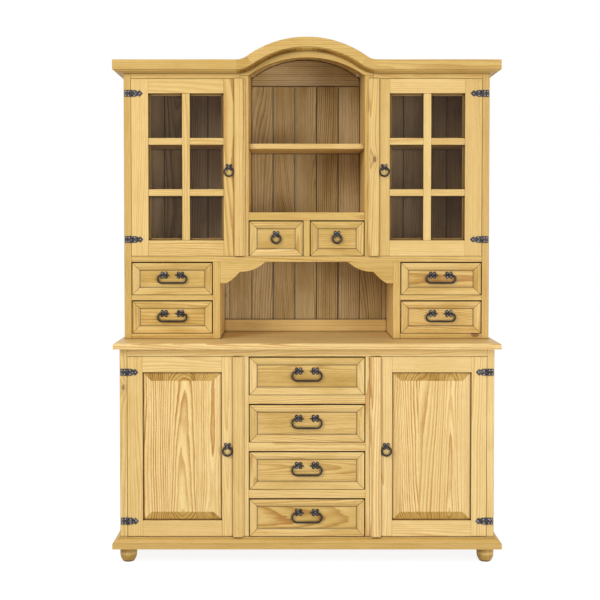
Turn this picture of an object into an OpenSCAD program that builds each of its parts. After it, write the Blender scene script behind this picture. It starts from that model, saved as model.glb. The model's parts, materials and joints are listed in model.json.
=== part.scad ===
// Pine display dresser: a cupboard base with four drawers, and a glazed hutch with an arched cornice.
// Millimetres. Z is up, the front looks along -Y, and the origin is on the floor under the centre.

/* [Overall] */
// Width of the base body and of the hutch body
body_w = 1554; // [1400:2:1700]
// Depth of the base, from its face frame to the back
base_d = 467; // [430:1:520]
// Depth of the hutch, from its face frame to the back
hutch_d = 333; // [300:1:360]
// Height of the underside of the counter above the floor
base_h = 895; // [880:1:930]

/* [Boards] */
// Thickness of sides, partitions and floors
board_t = 20; // [16:1:25]
// Thickness of the face frames and of the doors
face_t = 22; // [18:1:26]
// Thickness of the back boards
back_t = 12; // [8:1:16]
// Width of one back board
plank_w = 99; // [80:1:120]
// Line that shows at a glued or mitred joint
glue_line = 0.2; // [0.1:0.05:0.4]
// Gap around a door or a drawer front
door_gap = 1.5; // [1:0.1:2.5]

/* [Feet and plinth] */
// Height of a bun foot
foot_h = 65; // [50:1:90]
// Greatest diameter of a bun foot
foot_d = 71; // [50:1:80]
// Diameter of a bun foot on the floor
foot_base_d = 46; // [20:1:49]
// Height of a bun foot's widest part
foot_widest_z = 36; // [28:1:48]
// Diameter of a bun foot's top, as a share of its greatest diameter
foot_top_share = 0.79; // [0.5:0.01:0.95]
// Inset of a foot's centre from the side of the base
foot_side_inset = 29; // [20:1:60]
// Inset of a foot's centre from the front and from the back of the base
foot_end_inset = 37; // [35:1:80]
// Height of the plinth
plinth_h = 45; // [35:1:70]
// How far the plinth moulding stands out
plinth_out = 29; // [15:1:35]
// Height of the flat lower band of the plinth moulding
plinth_band_h = 22.5; // [12:0.5:24]
// Width of the step above the plinth's band
plinth_step = 3; // [1:0.5:5]
// Radius of the round above the plinth's band
plinth_round_r = 16; // [8:0.5:17]
// How far the plinth's upper lip stands out
plinth_lip_out = 6; // [2:0.5:8]
// Height of the plinth's upper lip
plinth_lip_h = 4.5; // [2:0.5:6]

/* [Counter] */
// Thickness of the counter top
counter_t = 25; // [18:1:35]
// Counter overhang at each side
counter_side_out = 23; // [10:1:40]
// Counter overhang at the front
counter_front_out = 33; // [30:1:45]
// Radius of the counter's rounded upper edge
counter_round = 9; // [4:1:16]

/* [Base front] */
// Width of the outer stiles of both face frames
stile_w = 30; // [24:1:45]
// Width of the drawer opening in the base
bank_w = 484; // [400:2:560]
// Width of the posts beside the base drawers
post_w = 41; // [36:1:55]
// Height of the rail under the counter
base_top_rail_h = 32.5; // [25:0.5:50]
// Height of the rails between the base drawers
drawer_rail_h = 36; // [24:1:45]
// Length of a base drawer's box
base_drawer_l = 405; // [340:1:410]
// Height of the cupboard shelves above the cupboard floor
cupboard_shelf_z = 350; // [200:5:500]
// Depth of the cupboard shelves
cupboard_shelf_d = 400; // [300:5:410]
// Width of the stretchers under the counter
stretcher_w = 80; // [50:5:120]
// Width of the blocks that hold the feet
foot_block_w = 90; // [70:5:120]

/* [Hutch front] */
// Opening height of each drawer in the two side boxes
side_drawer_h = 142; // [120:1:160]
// Height of the rail under the side drawers
side_foot_rail_h = 24; // [16:1:30]
// Height of the rail between the side drawers
side_rail_h = 22; // [18:1:30]
// Height of the rail over the side drawers
middle_rail_h = 24; // [20:1:40]
// Width of the lower niche between the side drawers
lower_niche_w = 739; // [700:2:800]
// Width of the posts beside the lower niche
lower_post_w = 30.5; // [24:0.5:40]
// Width of the upper niche
niche_w = 494; // [440:2:540]
// Width of the posts beside the upper niche
upper_post_w = 36.5; // [32:0.5:45]
// Opening height of the glazed doors
glazed_h = 755; // [650:1:800]
// Height of the rail over the glazed doors
upper_top_rail_h = 34; // [30:1:60]
// Opening height of the two small drawers in the niche
small_drawer_h = 153; // [120:1:170]
// Height of the rail over the small drawers
niche_rail_h = 34; // [25:1:45]
// Width of the divider between the small drawers
divider_w = 26; // [20:1:36]
// Height of the niche shelf above the niche floor
niche_shelf_z = 272; // [200:1:320]
// Thickness of the niche shelf
niche_shelf_t = 21; // [16:1:26]
// Thickness of the shelves behind the glazed doors and in the cupboards
shelf_t = 18; // [14:1:24]
// Length of a hutch drawer's box
hutch_drawer_l = 285; // [240:1:290]
// Height of the back rail that stands on the counter in the lower niche
backsplash_h = 55; // [30:1:90]
// Drop of the vertical back boards' top under the springing of the arch
plank_top_drop = 3; // [1:1:60]
// How far the shelves lie behind the face frame
shelf_set_back = 15; // [5:1:40]

/* [Scalloped brackets] */
// Height of the brackets under the middle rail, beside the lower niche
bracket_h = 91; // [60:1:120]
// Width of the flat part at the outer end of a bracket
bracket_flat_w = 29; // [15:1:60]
// Width of a bracket's outer curve
bracket_outer_w = 56; // [40:1:80]
// Width of a bracket's inner curve
bracket_inner_w = 109; // [80:1:140]
// Rise of the outer curve, up to the cusp
bracket_cusp_rise = 49; // [20:1:55]
// How far the outer curve bows
bracket_outer_bow = 3.5; // [0:0.5:8]
// How far the inner curve bows
bracket_inner_bow = 12; // [0:0.5:16]

/* [Arch and cornice] */
// Radius of the top of the arched cornice
arch_r = 437; // [400:1:500]
// Rise of the arched cornice over its flat parts
arch_rise = 95; // [60:1:110]
// Radius of the sweep that joins the arch to the flat parts
sweep_r = 70; // [50:1:100]
// Rise of the arched opening of the niche
opening_rise = 77; // [50:1:80]
// Height of the springing of the opening over the top of the glazed doors' opening
spring_z = 12; // [8:1:24]
// How far the cornice stands out at the front and the sides
cornice_out = 42; // [30:1:55]
// Height of the cornice's flat upper band
fascia_h = 41; // [30:1:50]
// Height of the whole cornice moulding
cornice_h = 52; // [50:1:60]
// Radius of the bead under the cornice's flat band
cornice_bead_r = 7; // [4:0.5:8]
// Width of the step from the flat band back to the bead
cornice_step = 5; // [2:0.5:7]
// How far the cornice's foot stands out
cornice_foot_out = 8.5; // [4:0.5:12]
// Height of the cornice's top over the roof boards
roof_drop = 22; // [12:1:26]
// Thickness of the roof boards
roof_t = 18; // [12:1:20]
// Number of slats that make the arched roof
roof_slats = 12; // [8:2:16]
// Number of slats in each sweep of the roof
sweep_slats = 3; // [2:1:4]

/* [Doors] */
// Width of a cupboard door's hinge stile
cupboard_hinge_stile_w = 62.5; // [50:0.5:80]
// Width of a cupboard door's inner stile
cupboard_inner_stile_w = 68.5; // [64:0.5:85]
// Height of a cupboard door's bottom rail
cupboard_bottom_rail_h = 66; // [50:1:90]
// Height of a cupboard door's top rail
cupboard_top_rail_h = 64; // [50:1:90]
// Width of the bevel around a raised panel
panel_bevel_w = 36; // [20:1:50]
// Thickness of a raised panel at its edge
panel_edge_t = 6; // [4:0.5:8]
// Thickness of a raised panel at its middle
panel_mid_t = 15; // [12:0.5:17]
// How far a raised panel's middle lies behind the door's face
panel_set_back = 2; // [0:0.5:4]
// Width of a glazed door's hinge stile
glazed_hinge_stile_w = 71.5; // [55:0.5:90]
// Width of a glazed door's inner stile
glazed_inner_stile_w = 68; // [64:0.5:85]
// Height of a glazed door's bottom rail
glazed_bottom_rail_h = 66; // [50:1:90]
// Height of a glazed door's top rail
glazed_top_rail_h = 61; // [50:1:90]
// Width of the upright glazing bars
bar_w = 32; // [20:0.5:40]
// Height of the level glazing bars
cross_bar_h = 28; // [20:0.5:40]
// Thickness of the glazing bars
bar_t = 11; // [8:0.5:12]
// How far the glazing bars lie behind the door's face
bar_set_back = 2; // [0:0.5:3]
// Thickness of the glass
glass_t = 3; // [2:0.5:4]
// Width of the beads that hold the glass
bead_w = 9; // [6:1:12]
// How far the beads lie in front of the door's back
bead_set_back = 1; // [0:0.5:2]
// Width of the moulded strip that closes a door against its post
strip_w = 45; // [38:1:52]
// Thickness of the closing strip
strip_t = 10; // [6:1:14]
// Thickness of the closing strip's edge on the post
strip_edge_t = 3; // [2:0.5:5]
// Width of the closing strip's rounded part
strip_round_w = 12; // [8:1:16]
// Size of the chamfer on the closing strip's other edge
strip_chamfer = 2; // [1:0.5:3]
// How far the closing strip laps over the post
strip_lap = 21; // [14:1:24]

/* [Drawers] */
// Gap at each side of a drawer front
drawer_side_gap = 4; // [1:0.5:5]
// Gap under a drawer front
drawer_low_gap = 1.5; // [1:0.5:3]
// Gap over a drawer front
drawer_top_gap = 4.5; // [1:0.5:6]
// Width of the flat rim of a drawer front
rim_w = 17; // [10:1:24]
// Width of the slope inside the rim
rim_slope_w = 16; // [8:1:22]
// Height of the rim over the middle of the drawer front
rim_h = 8; // [4:0.5:12]
// Height of the slope's inner edge over the middle of the drawer front
rim_edge_h = 1; // [0.5:0.5:3]
// Thickness of a drawer front behind its rim
front_t = 14; // [10:1:18]
// How far a drawer front stands proud of the face frame
front_proud = 1; // [0:0.5:3]
// Thickness of a drawer's sides and back
drawer_side_t = 12; // [8:1:16]
// Thickness of a drawer's bottom
drawer_bottom_t = 6; // [4:1:10]
// Height of a drawer's bottom over the lower edge of its sides
drawer_bottom_z = 8; // [4:1:14]
// How much lower a drawer's box is than its opening
box_drop = 22; // [12:1:40]
// Running clearance under a drawer
run_gap = 0.4; // [0.2:0.1:0.8]
// Height of a runner and of a guide
runner_h = 20; // [12:1:30]
// Clearance between a drawer's side and its guide
guide_gap = 1; // [0.5:0.1:2]
// Width of the part of a runner that carries a drawer
runner_w = 18; // [12:1:30]

/* [Ironwork] */
// Height of a hinge
hinge_h = 28; // [20:1:34]
// Width of a hinge's fixed leaf, from the pin
fixed_leaf_w = 27; // [20:1:29]
// Length of a cupboard hinge's arrow leaf, from the pin
arrow_leaf_l = 46; // [38:1:56]
// Length of a glazed door's hinge's arrow leaf, from the pin
glazed_arrow_leaf_l = 51; // [38:1:60]
// Thickness of the hinge leaves
leaf_t = 2; // [1.5:0.25:3]
// Diameter of a hinge's knuckles
knuckle_d = 7; // [6:0.5:9]
// Diameter of a hinge's pin
hinge_pin_d = 3; // [2:0.1:3.2]
// Radial clearance of a knuckle on the pin
pin_clearance = 0.1; // [0.05:0.01:0.2]
// Distance of a hinge's middle from the end of a cupboard door
hinge_inset = 64; // [50:1:120]
// Distance of the lower hinges' middle from the bottom of the glazed doors
low_hinge_inset = 70; // [50:1:120]
// Distance of the topmost hinges' middle from the top of the glazed doors
top_hinge_inset = 62; // [40:1:120]
// Distance of the outer rivets from the middle of a hinge
rivet_row_z = 8; // [5:0.5:9]
// Diameter of the rivets' heads
rivet_d = 5; // [3:0.5:6]
// Diameter of the rivets' heads at their top
rivet_top_d = 3.5; // [2:0.25:3.5]
// Height of the rivets' heads
rivet_h = 1.2; // [0.8:0.1:1.5]
// Diameter of a ring pull
ring_d = 45; // [36:1:56]
// Diameter of the wire of a ring pull or a bail
wire_d = 7; // [4:0.5:8]
// Clearance of the wire in its eye
wire_clearance = 0.5; // [0.3:0.05:0.8]
// Width of a bail handle over its loops
bail_w = 130; // [110:1:150]
// Distance between a bail's rosettes
bail_centres = 70; // [60:1:80]
// Drop of a base drawer's bail from its pivot to the middle of its bar
bail_drop = 40; // [30:1:44]
// Drop of a side drawer's bail from its pivot to the middle of its bar
side_bail_drop = 33; // [28:1:44]
// How far the ends of a bail stand out of its eyes
bail_tip_l = 20; // [4:1:24]
// Height of the bail's pivot over the middle of a base drawer's front
bail_pivot_z = 19; // [14:1:22]
// Height of the bail's pivot over the middle of a side drawer's front
side_bail_pivot_z = 14; // [8:1:20]
// Distance of a handle's pivot in front of the wood
pivot_out = 9; // [7.5:0.5:12]
// Diameter of a bail's rosette over its petals
flower_d = 36; // [18:1:40]
// Diameter of a ring pull's rosette over its petals
rosette_d = 34; // [18:1:38]
// Width of a rosette's petals
petal_w = 12; // [6:0.5:14]
// Number of petals of a rosette
petals = 4; // [3:1:8]
// Diameter of a rosette's middle
rosette_mid_d = 12; // [9:0.5:14]
// Thickness of the rosettes
rosette_t = 2; // [1.5:0.25:3]
// Thickness of an eye
eye_t = 4.5; // [3:0.5:6]
// Thickness of the metal around an eye's hole
eye_wall = 2.5; // [1.5:0.25:3]
// Height of the neck between an eye and its rosette
eye_neck_h = 7; // [4:0.5:8]
// Height of a cupboard door's ring pivot above the door's middle
cupboard_ring_z = 2; // [-100:1:150]
// Height of a glazed door's ring pivot above the door's middle
glazed_ring_z = 1; // [-100:1:150]
// Height of a small drawer's ring pivot above the middle of its front
small_ring_z = 17; // [10:1:26]

/* [Hidden] */
base_drawers = 4;

pine = "#e2c27f";
dark_pine = "#a98852";
iron = "#2e2a28";
clear_glass = [0.75, 0.85, 0.85, 0.35];
round_fn = 48;
left = -1;
right = 1;

counter_d = base_d + counter_front_out;
back_y = counter_d / 2;
back_board_y = back_y - back_t;
base_face_y = back_y - base_d;
hutch_face_y = back_y - hutch_d;
half_w = body_w / 2;
inner_half_w = half_w - board_t;
door_outer_x = half_w - stile_w;

base_floor_z = foot_h + plinth_h;
base_open_h = base_h - base_top_rail_h - base_floor_z;
base_drawer_h = (base_open_h - (base_drawers - 1) * drawer_rail_h) / base_drawers;
base_post_x = bank_w / 2 + post_w;
base_partition_x = base_post_x - board_t;

counter_z = base_h + counter_t;
side_floor_z = counter_z + side_foot_rail_h;
side_rail_z = side_floor_z + side_drawer_h;
upper_floor_z = side_rail_z + side_rail_h + side_drawer_h + middle_rail_h;
lower_post_x = lower_niche_w / 2 + lower_post_w;
glazed_top_z = upper_floor_z + glazed_h;
carcass_top_z = glazed_top_z + upper_top_rail_h;
roof_top_z = carcass_top_z + roof_t;
cornice_top_z = roof_top_z + roof_drop;
niche_floor_z = upper_floor_z + small_drawer_h + niche_rail_h;
upper_post_x = niche_w / 2 + upper_post_w;
opening_spring_z = glazed_top_z + spring_z;
plank_top_z = opening_spring_z - plank_top_drop;

arch_centre_z = cornice_top_z + arch_rise - arch_r;
sweep_centre_z = cornice_top_z + sweep_r;
sweep_x = sqrt(pow(arch_r + sweep_r, 2) - pow(sweep_centre_z - arch_centre_z, 2));
sweep_angle = asin(sweep_x / (arch_r + sweep_r));
opening_r = (pow(niche_w / 2, 2) + pow(opening_rise, 2)) / (2 * opening_rise);
opening_centre_z = opening_spring_z + opening_rise - opening_r;
roof_under_r = arch_r - roof_drop - roof_t;
sweep_under_r = sweep_r + roof_drop + roof_t;

hinge_pin_x = door_outer_x - door_gap / 2;
leaf_gap = 0.3;
hinge_pin_out = knuckle_d / 2 + 2 * leaf_gap;
eye_bore_r = wire_d / 2 + wire_clearance;
eye_r = eye_bore_r + eye_wall;
ring_r = (ring_d - wire_d) / 2;
cupboard_ring_x = (base_post_x + door_gap + cupboard_inner_stile_w + base_post_x - strip_lap + strip_w) / 2;
glazed_ring_x = (upper_post_x + door_gap + glazed_inner_stile_w + upper_post_x - strip_lap + strip_w) / 2;
arc_steps = 24;

function arc(centre, r, from, to, steps) = [
    for (i = [0 : steps])
        let (a = from + (to - from) * i / steps)
            [centre[0] + r * cos(a), centre[1] + r * sin(a)]
];

function bow(from, to, depth, steps) = [
    for (i = [1 : steps])
        let (
            t = i / steps,
            d = to - from,
            n = [-d[1], d[0]] / norm(d)
        )
            from + d * t + n * 4 * depth * t * (1 - t)
];

// A drawer: centre of its opening in X, floor of its opening, opening width and height, face and box length
function base_drawer(i) = [
    0,
    base_floor_z + (base_drawers - i) * (base_drawer_h + drawer_rail_h),
    bank_w,
    base_drawer_h,
    base_face_y,
    base_drawer_l
];

function side_drawer(side, level) = [
    side * (lower_post_x + door_outer_x) / 2,
    side_floor_z + level * (side_drawer_h + side_rail_h),
    door_outer_x - lower_post_x,
    side_drawer_h,
    hutch_face_y,
    hutch_drawer_l
];

function small_drawer(side) = [
    side * (niche_w + divider_w) / 4,
    upper_floor_z,
    (niche_w - divider_w) / 2,
    small_drawer_h,
    hutch_face_y,
    hutch_drawer_l
];

// A door: its inner edge, outer edge, bottom, top and face
cupboard_door = [
    base_post_x + door_gap,
    door_outer_x - door_gap,
    base_floor_z + door_gap,
    base_floor_z + base_open_h - door_gap,
    base_face_y - leaf_gap
];
glazed_door = [
    upper_post_x + door_gap,
    door_outer_x - door_gap,
    upper_floor_z + door_gap,
    glazed_top_z - door_gap,
    hutch_face_y - leaf_gap
];
pane_h = (
    glazed_door[3] - glazed_door[2] - glazed_bottom_rail_h - glazed_top_rail_h
    - 2 * glue_line - 2 * cross_bar_h
) / 3;

// A box between two corners
module board(from, to) {
    translate(from) cube(to - from);
}

module both_sides() {
    children();
    mirror([1, 0, 0]) children();
}

module on_side(side) {
    mirror([side < 0 ? 1 : 0, 0, 0]) children();
}

// A flat shape drawn in X and Z, from its front at Y = front to its back
module upright(front, thick) {
    translate([0, front + thick, 0]) rotate([90, 0, 0]) linear_extrude(thick) children();
}

// A straight moulding along X. Its profile's points are [out from the face, height].
module moulding_x(profile, length) {
    rotate([90, 0, 90]) linear_extrude(length) polygon([for (p = profile) [-p[0], p[1]]]);
}

// The same along Y, forward from Y = 0
module moulding_y(profile, length) {
    rotate([90, 0, 0]) linear_extrude(length) polygon(profile);
}

// The space past the 45 degree mitre at a front right corner
module past_mitre(corner, shift) {
    reach = body_w;
    translate([corner[0] + shift, corner[1], -reach / 2])
        linear_extrude(reach) polygon([[-reach, reach], [reach, -reach], [reach, reach]]);
}

// A length of moulding along the front, from from_x to the right corner and mitred there
module mitred_front(profile, out, face_y, from_x) {
    difference() {
        translate([from_x, face_y, 0]) moulding_x(profile, half_w + out - from_x);
        past_mitre([half_w, face_y], -glue_line / 2);
    }
}

// The lengths of the same moulding along both sides, mitred at their front ends
module mitred_sides(profile, out, face_y) {
    both_sides() intersection() {
        translate([half_w, back_y, 0]) moulding_y(profile, back_y - face_y + out);
        past_mitre([half_w, face_y], glue_line / 2);
    }
}

module feet() {
    low_swell = foot_widest_z / sqrt(1 - pow(foot_base_d / foot_d, 2));
    high_swell = (foot_h - foot_widest_z) / sqrt(1 - pow(foot_top_share, 2));
    outline = [
        for (i = [0 : arc_steps])
            let (
                z = foot_h * i / arc_steps,
                swell = z < foot_widest_z ? low_swell : high_swell
            )
                [foot_d / 2 * sqrt(1 - pow((z - foot_widest_z) / swell, 2)), z]
    ];
    color(pine)
        for (x = [-1, 1] * (half_w - foot_side_inset), y = [base_face_y + foot_end_inset, back_y - foot_end_inset])
            translate([x, y, 0])
                rotate_extrude($fn = round_fn) polygon(concat([[0, 0]], outline, [[0, foot_h]]));
}

// Flat band, round and lip, from the bottom up
plinth_profile = concat(
    [[0, 0], [plinth_out, 0], [plinth_out, plinth_band_h]],
    arc([plinth_out - plinth_step - plinth_round_r, plinth_band_h], plinth_round_r, 0, 75, 5),
    [[plinth_lip_out, plinth_h - plinth_lip_h], [plinth_lip_out, plinth_h], [0, plinth_h]]
);

module plinth() {
    color(pine) translate([0, 0, foot_h]) {
        difference() {
            mitred_front(plinth_profile, plinth_out, base_face_y, -half_w - plinth_out);
            mirror([1, 0, 0]) past_mitre([half_w, base_face_y], -glue_line / 2);
        }
        mitred_sides(plinth_profile, plinth_out, base_face_y);
    }
}

module base_sides() {
    y = base_face_y + face_t;
    color(pine) both_sides() {
        board([inner_half_w, y, foot_h], [half_w, back_y, base_h]);
        board([base_partition_x, y, base_floor_z], [base_post_x, back_board_y, base_h - shelf_t]);
    }
}

module base_boards() {
    y = base_face_y + face_t;
    under_floor_z = base_floor_z - board_t;
    shelf_z = base_floor_z + cupboard_shelf_z;
    color(pine) {
        board([-inner_half_w, y, under_floor_z], [inner_half_w, back_board_y, base_floor_z]);
        for (from = [y, back_board_y - stretcher_w])
            board([-inner_half_w, from, base_h - shelf_t], [inner_half_w, from + stretcher_w, base_h]);
        both_sides() {
            board(
                [base_post_x, back_board_y - cupboard_shelf_d, shelf_z],
                [inner_half_w, back_board_y - glue_line, shelf_z + shelf_t]
            );
            for (from = [y, back_board_y - foot_block_w])
                board(
                    [inner_half_w - foot_block_w, from, foot_h],
                    [inner_half_w, from + foot_block_w, under_floor_z - glue_line]
                );
        }
    }
}

// A guide strip beside a drawer, standing on z
module guide(x_from, x_to, y_from, length, z) {
    board([x_from, y_from, z + glue_line], [x_to, y_from + length, z + runner_h]);
}

module drawer_runners() {
    base_y = base_face_y + face_t;
    hutch_y = hutch_face_y + face_t;
    box_x = bank_w / 2 - drawer_side_gap;
    side_in_x = lower_post_x + drawer_side_gap - guide_gap;
    side_out_x = door_outer_x - drawer_side_gap + guide_gap;
    color(pine) both_sides() {
        for (i = [1 : base_drawers]) {
            z = base_drawer(i)[1];
            guide(box_x + guide_gap, base_partition_x, base_y, base_drawer_l, z);
            if (i < base_drawers)
                board([box_x - runner_w, base_y, z - runner_h], [base_partition_x, back_board_y, z]);
        }
        for (level = [0, 1]) {
            z = side_drawer(right, level)[1];
            guide(lower_niche_w / 2 + board_t, side_in_x, hutch_y, hutch_drawer_l, z);
            guide(side_out_x, inner_half_w, hutch_y, hutch_drawer_l, z);
        }
    }
}

module base_face_frame() {
    y = base_face_y;
    back = y + face_t;
    rail_x = door_outer_x - glue_line;
    rail_z = base_h - base_top_rail_h;
    color(pine) {
        both_sides() {
            board([door_outer_x, y, foot_h], [half_w, back, base_h]);
            board([bank_w / 2, y, base_floor_z + glue_line], [base_post_x, back, rail_z - glue_line]);
        }
        board([-rail_x, y, foot_h], [rail_x, back, base_floor_z]);
        board([-rail_x, y, rail_z], [rail_x, back, base_h]);
        if (base_drawers > 1)
            for (i = [2 : base_drawers])
                board(
                    [-bank_w / 2 + glue_line, y, base_drawer(i)[1] + base_drawer_h],
                    [bank_w / 2 - glue_line, back, base_drawer(i)[1] + base_drawer_h + drawer_rail_h]
                );
    }
}

// Vertical back boards between -reach and reach, with the odd width left to the outer ones
module planks(reach, z_from, z_to) {
    pairs = max(1, round((reach - plank_w / 2) / plank_w));
    gap = glue_line / 2;
    board([-plank_w / 2 + gap, back_board_y, z_from], [plank_w / 2 - gap, back_y, z_to]);
    both_sides()
        for (i = [1 : pairs])
            board(
                [plank_w * (i - 0.5) + gap, back_board_y, z_from],
                [i == pairs ? reach : plank_w * (i + 0.5) - gap, back_y, z_to]
            );
}

module base_back_boards() {
    color(dark_pine) planks(inner_half_w, base_floor_z - board_t, base_h);
}

// The counter's section between from and to, with its upper corners rounded, at from only if round_from is true
module rounded_section(from, to, round_from) {
    r = counter_round;
    translate([from + (round_from ? r : 0), 0]) square([to - from - (round_from ? 2 : 1) * r, counter_t]);
    translate([from, 0]) square([to - from, counter_t - r]);
    translate([to - r, counter_t - r]) circle(r, $fn = round_fn);
    if (round_from) translate([from + r, counter_t - r]) circle(r, $fn = round_fn);
}

module counter_top() {
    w = body_w + 2 * counter_side_out;
    color(pine) translate([0, 0, base_h]) intersection() {
        translate([0, back_y, 0]) rotate([90, 0, 0]) linear_extrude(counter_d) rounded_section(-w / 2, w / 2, true);
        translate([w / 2, 0, 0]) rotate([90, 0, -90]) linear_extrude(w) rounded_section(-back_y, counter_d - back_y, false);
    }
}

// The space under the roof boards as a flat shape: flat, sweep, arch, sweep, flat
module under_roof() {
    arch_seat_r = roof_under_r - glue_line;
    sweep_seat_r = sweep_under_r + glue_line;
    side = concat(
        arc([0, arch_centre_z], arch_seat_r, 90, 90 - sweep_angle, arc_steps / 2),
        arc([sweep_x, sweep_centre_z], sweep_seat_r, 270 - sweep_angle, 270, arc_steps / 4),
        [[sweep_x, carcass_top_z], [half_w, carcass_top_z], [half_w, counter_z]]
    );
    last = len(side) - 1;
    polygon(concat(side, [for (i = [last : -1 : 1]) [-side[i][0], side[i][1]]]));
}

module hutch_sides() {
    y = hutch_face_y + face_t;
    lower_top_z = upper_floor_z - board_t;
    color(pine) {
        both_sides() {
            board([inner_half_w, y, counter_z], [half_w, back_y, carcass_top_z]);
            board([lower_niche_w / 2, y, counter_z], [lower_niche_w / 2 + board_t, back_board_y, lower_top_z]);
            upright(y, back_board_y - y) intersection() {
                translate([niche_w / 2, upper_floor_z]) square([board_t, cornice_top_z]);
                under_roof();
            }
        }
    }
}

module roof() {
    y = hutch_face_y;
    d = back_y - y;
    slat_angle = 2 * sweep_angle / roof_slats;
    slat_w = 2 * roof_under_r * tan(slat_angle / 2) - glue_line;
    sweep_slat_angle = sweep_angle / sweep_slats;
    sweep_slat_r = sweep_under_r * cos(sweep_slat_angle / 2);
    sweep_slat_w = 2 * (sweep_slat_r - roof_t) * tan(sweep_slat_angle / 2) - glue_line;
    for (i = [0 : roof_slats - 1])
        translate([0, y, arch_centre_z])
            rotate([0, (i + 0.5) * slat_angle - sweep_angle, 0])
                translate([-slat_w / 2, 0, roof_under_r]) cube([slat_w, d, roof_t]);
    both_sides() {
        for (i = [0 : sweep_slats - 1])
            translate([sweep_x, y, sweep_centre_z])
                rotate([0, (i + 0.5) * sweep_slat_angle, 0])
                    translate([-sweep_slat_w / 2, 0, -sweep_slat_r]) cube([sweep_slat_w, d, roof_t]);
        board([sweep_x + glue_line, y, carcass_top_z], [half_w, back_y, roof_top_z]);
    }
}

module hutch_boards() {
    y = hutch_face_y + face_t;
    shelf_y = y + shelf_set_back;
    side_box_x = lower_niche_w / 2 + board_t;
    niche_x = niche_w / 2;
    glass_rail_z = upper_floor_z + glazed_bottom_rail_h;
    color(pine) {
        board([-inner_half_w, y, upper_floor_z - board_t], [inner_half_w, back_board_y, upper_floor_z]);
        both_sides() {
            board([side_box_x, y, counter_z], [inner_half_w, back_board_y, side_floor_z]);
            board(
                [side_box_x, y, side_rail_z + side_rail_h - shelf_t],
                [inner_half_w, back_board_y, side_rail_z + side_rail_h]
            );
            for (row = [1, 2]) {
                z = glass_rail_z + row * (pane_h + cross_bar_h) - cross_bar_h / 2 - shelf_t / 2;
                board([niche_x + board_t, shelf_y, z], [inner_half_w, back_board_y, z + shelf_t]);
            }
        }
        board([-niche_x, y, niche_floor_z - board_t], [niche_x, back_board_y, niche_floor_z]);
        board(
            [-divider_w / 2, y, upper_floor_z + glue_line],
            [divider_w / 2, back_board_y, niche_floor_z - board_t - glue_line]
        );
        board(
            [-niche_x, y, niche_floor_z + niche_shelf_z],
            [niche_x, back_board_y, niche_floor_z + niche_shelf_z + niche_shelf_t]
        );
        board(
            [-lower_niche_w / 2, back_board_y - board_t, counter_z],
            [lower_niche_w / 2, back_board_y, counter_z + backsplash_h]
        );
        roof();
    }
}

// A scalloped bracket in the right corner of the lower niche, hung under the middle rail
module bracket() {
    end_x = lower_niche_w / 2 - glue_line;
    top_z = upper_floor_z - middle_rail_h - glue_line;
    flat_end = [end_x - bracket_flat_w, top_z - bracket_h];
    cusp = flat_end + [-bracket_outer_w, bracket_cusp_rise];
    inner_end = [cusp[0] - bracket_inner_w, top_z];
    upright(hutch_face_y, face_t)
        polygon(concat(
            [[end_x, top_z], [end_x, top_z - bracket_h], flat_end],
            bow(flat_end, cusp, bracket_outer_bow, 6),
            bow(cusp, inner_end, bracket_inner_bow, 10)
        ));
}

// The board that carries the arched cornice and arches over the niche
module arch_board() {
    end_x = upper_post_x - glue_line;
    upright(hutch_face_y, face_t) difference() {
        intersection() {
            translate([-end_x, opening_spring_z + glue_line]) square([2 * end_x, cornice_top_z]);
            under_roof();
        }
        translate([0, opening_centre_z]) circle(opening_r, $fn = 2 * round_fn);
    }
}

module hutch_face_frame() {
    y = hutch_face_y;
    back = y + face_t;
    rail_x = door_outer_x - glue_line;
    side_top_z = upper_floor_z - middle_rail_h;
    niche_rail_z = niche_floor_z - niche_rail_h;
    color(pine) {
        both_sides() {
            board([door_outer_x, y, counter_z], [half_w, back, carcass_top_z]);
            board([lower_post_x + glue_line, y, counter_z], [rail_x, back, side_floor_z]);
            board([lower_niche_w / 2, y, counter_z], [lower_post_x, back, side_top_z - glue_line]);
            board([lower_post_x + glue_line, y, side_rail_z], [rail_x, back, side_rail_z + side_rail_h]);
            board([niche_w / 2, y, upper_floor_z + glue_line], [upper_post_x, back, opening_spring_z]);
            board([upper_post_x + glue_line, y, glazed_top_z], [rail_x, back, carcass_top_z]);
            bracket();
        }
        board([-rail_x, y, side_top_z], [rail_x, back, upper_floor_z]);
        board([-niche_w / 2 + glue_line, y, niche_rail_z], [niche_w / 2 - glue_line, back, niche_floor_z]);
        board([-divider_w / 2, y, upper_floor_z + glue_line], [divider_w / 2, back, niche_rail_z - glue_line]);
        arch_board();
    }
}

// Planks up to the roof, but behind the niche only up to the horizontal board that fills the arch
module hutch_back_boards() {
    niche_pairs = max(1, round(niche_w / plank_w / 2 - 0.5));
    arch_x = plank_w * (niche_pairs + 0.5);
    color(dark_pine) {
        intersection() {
            planks(inner_half_w, counter_z, cornice_top_z);
            upright(back_board_y, back_t) difference() {
                under_roof();
                translate([-arch_x, plank_top_z - glue_line]) square([2 * arch_x, cornice_top_z]);
            }
        }
        upright(back_board_y, back_t) intersection() {
            translate([-arch_x + glue_line / 2, plank_top_z]) square([2 * arch_x - glue_line, cornice_top_z]);
            under_roof();
        }
    }
}

// Points are [out from the face, height], with the top of the cornice at height 0
cornice_bead_x = cornice_out - cornice_step - cornice_bead_r;
cornice_profile = concat(
    [[0, 0], [0, -cornice_h]],
    arc([cornice_foot_out, -fascia_h], cornice_h - fascia_h, 270, 320, 3),
    arc([cornice_bead_x, -fascia_h], cornice_bead_r, 230, 360, 6),
    [[cornice_out, -fascia_h], [cornice_out, 0]]
);

module cornice_arc(centre_x, centre_z, from, sweep, start_r, outward) {
    translate([centre_x, hutch_face_y, centre_z]) rotate([90, 0, 0]) rotate([0, 0, from])
        rotate_extrude(angle = sweep, $fn = 4 * round_fn)
            polygon([for (p = cornice_profile) [start_r + outward * p[1], p[0]]]);
}

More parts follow.
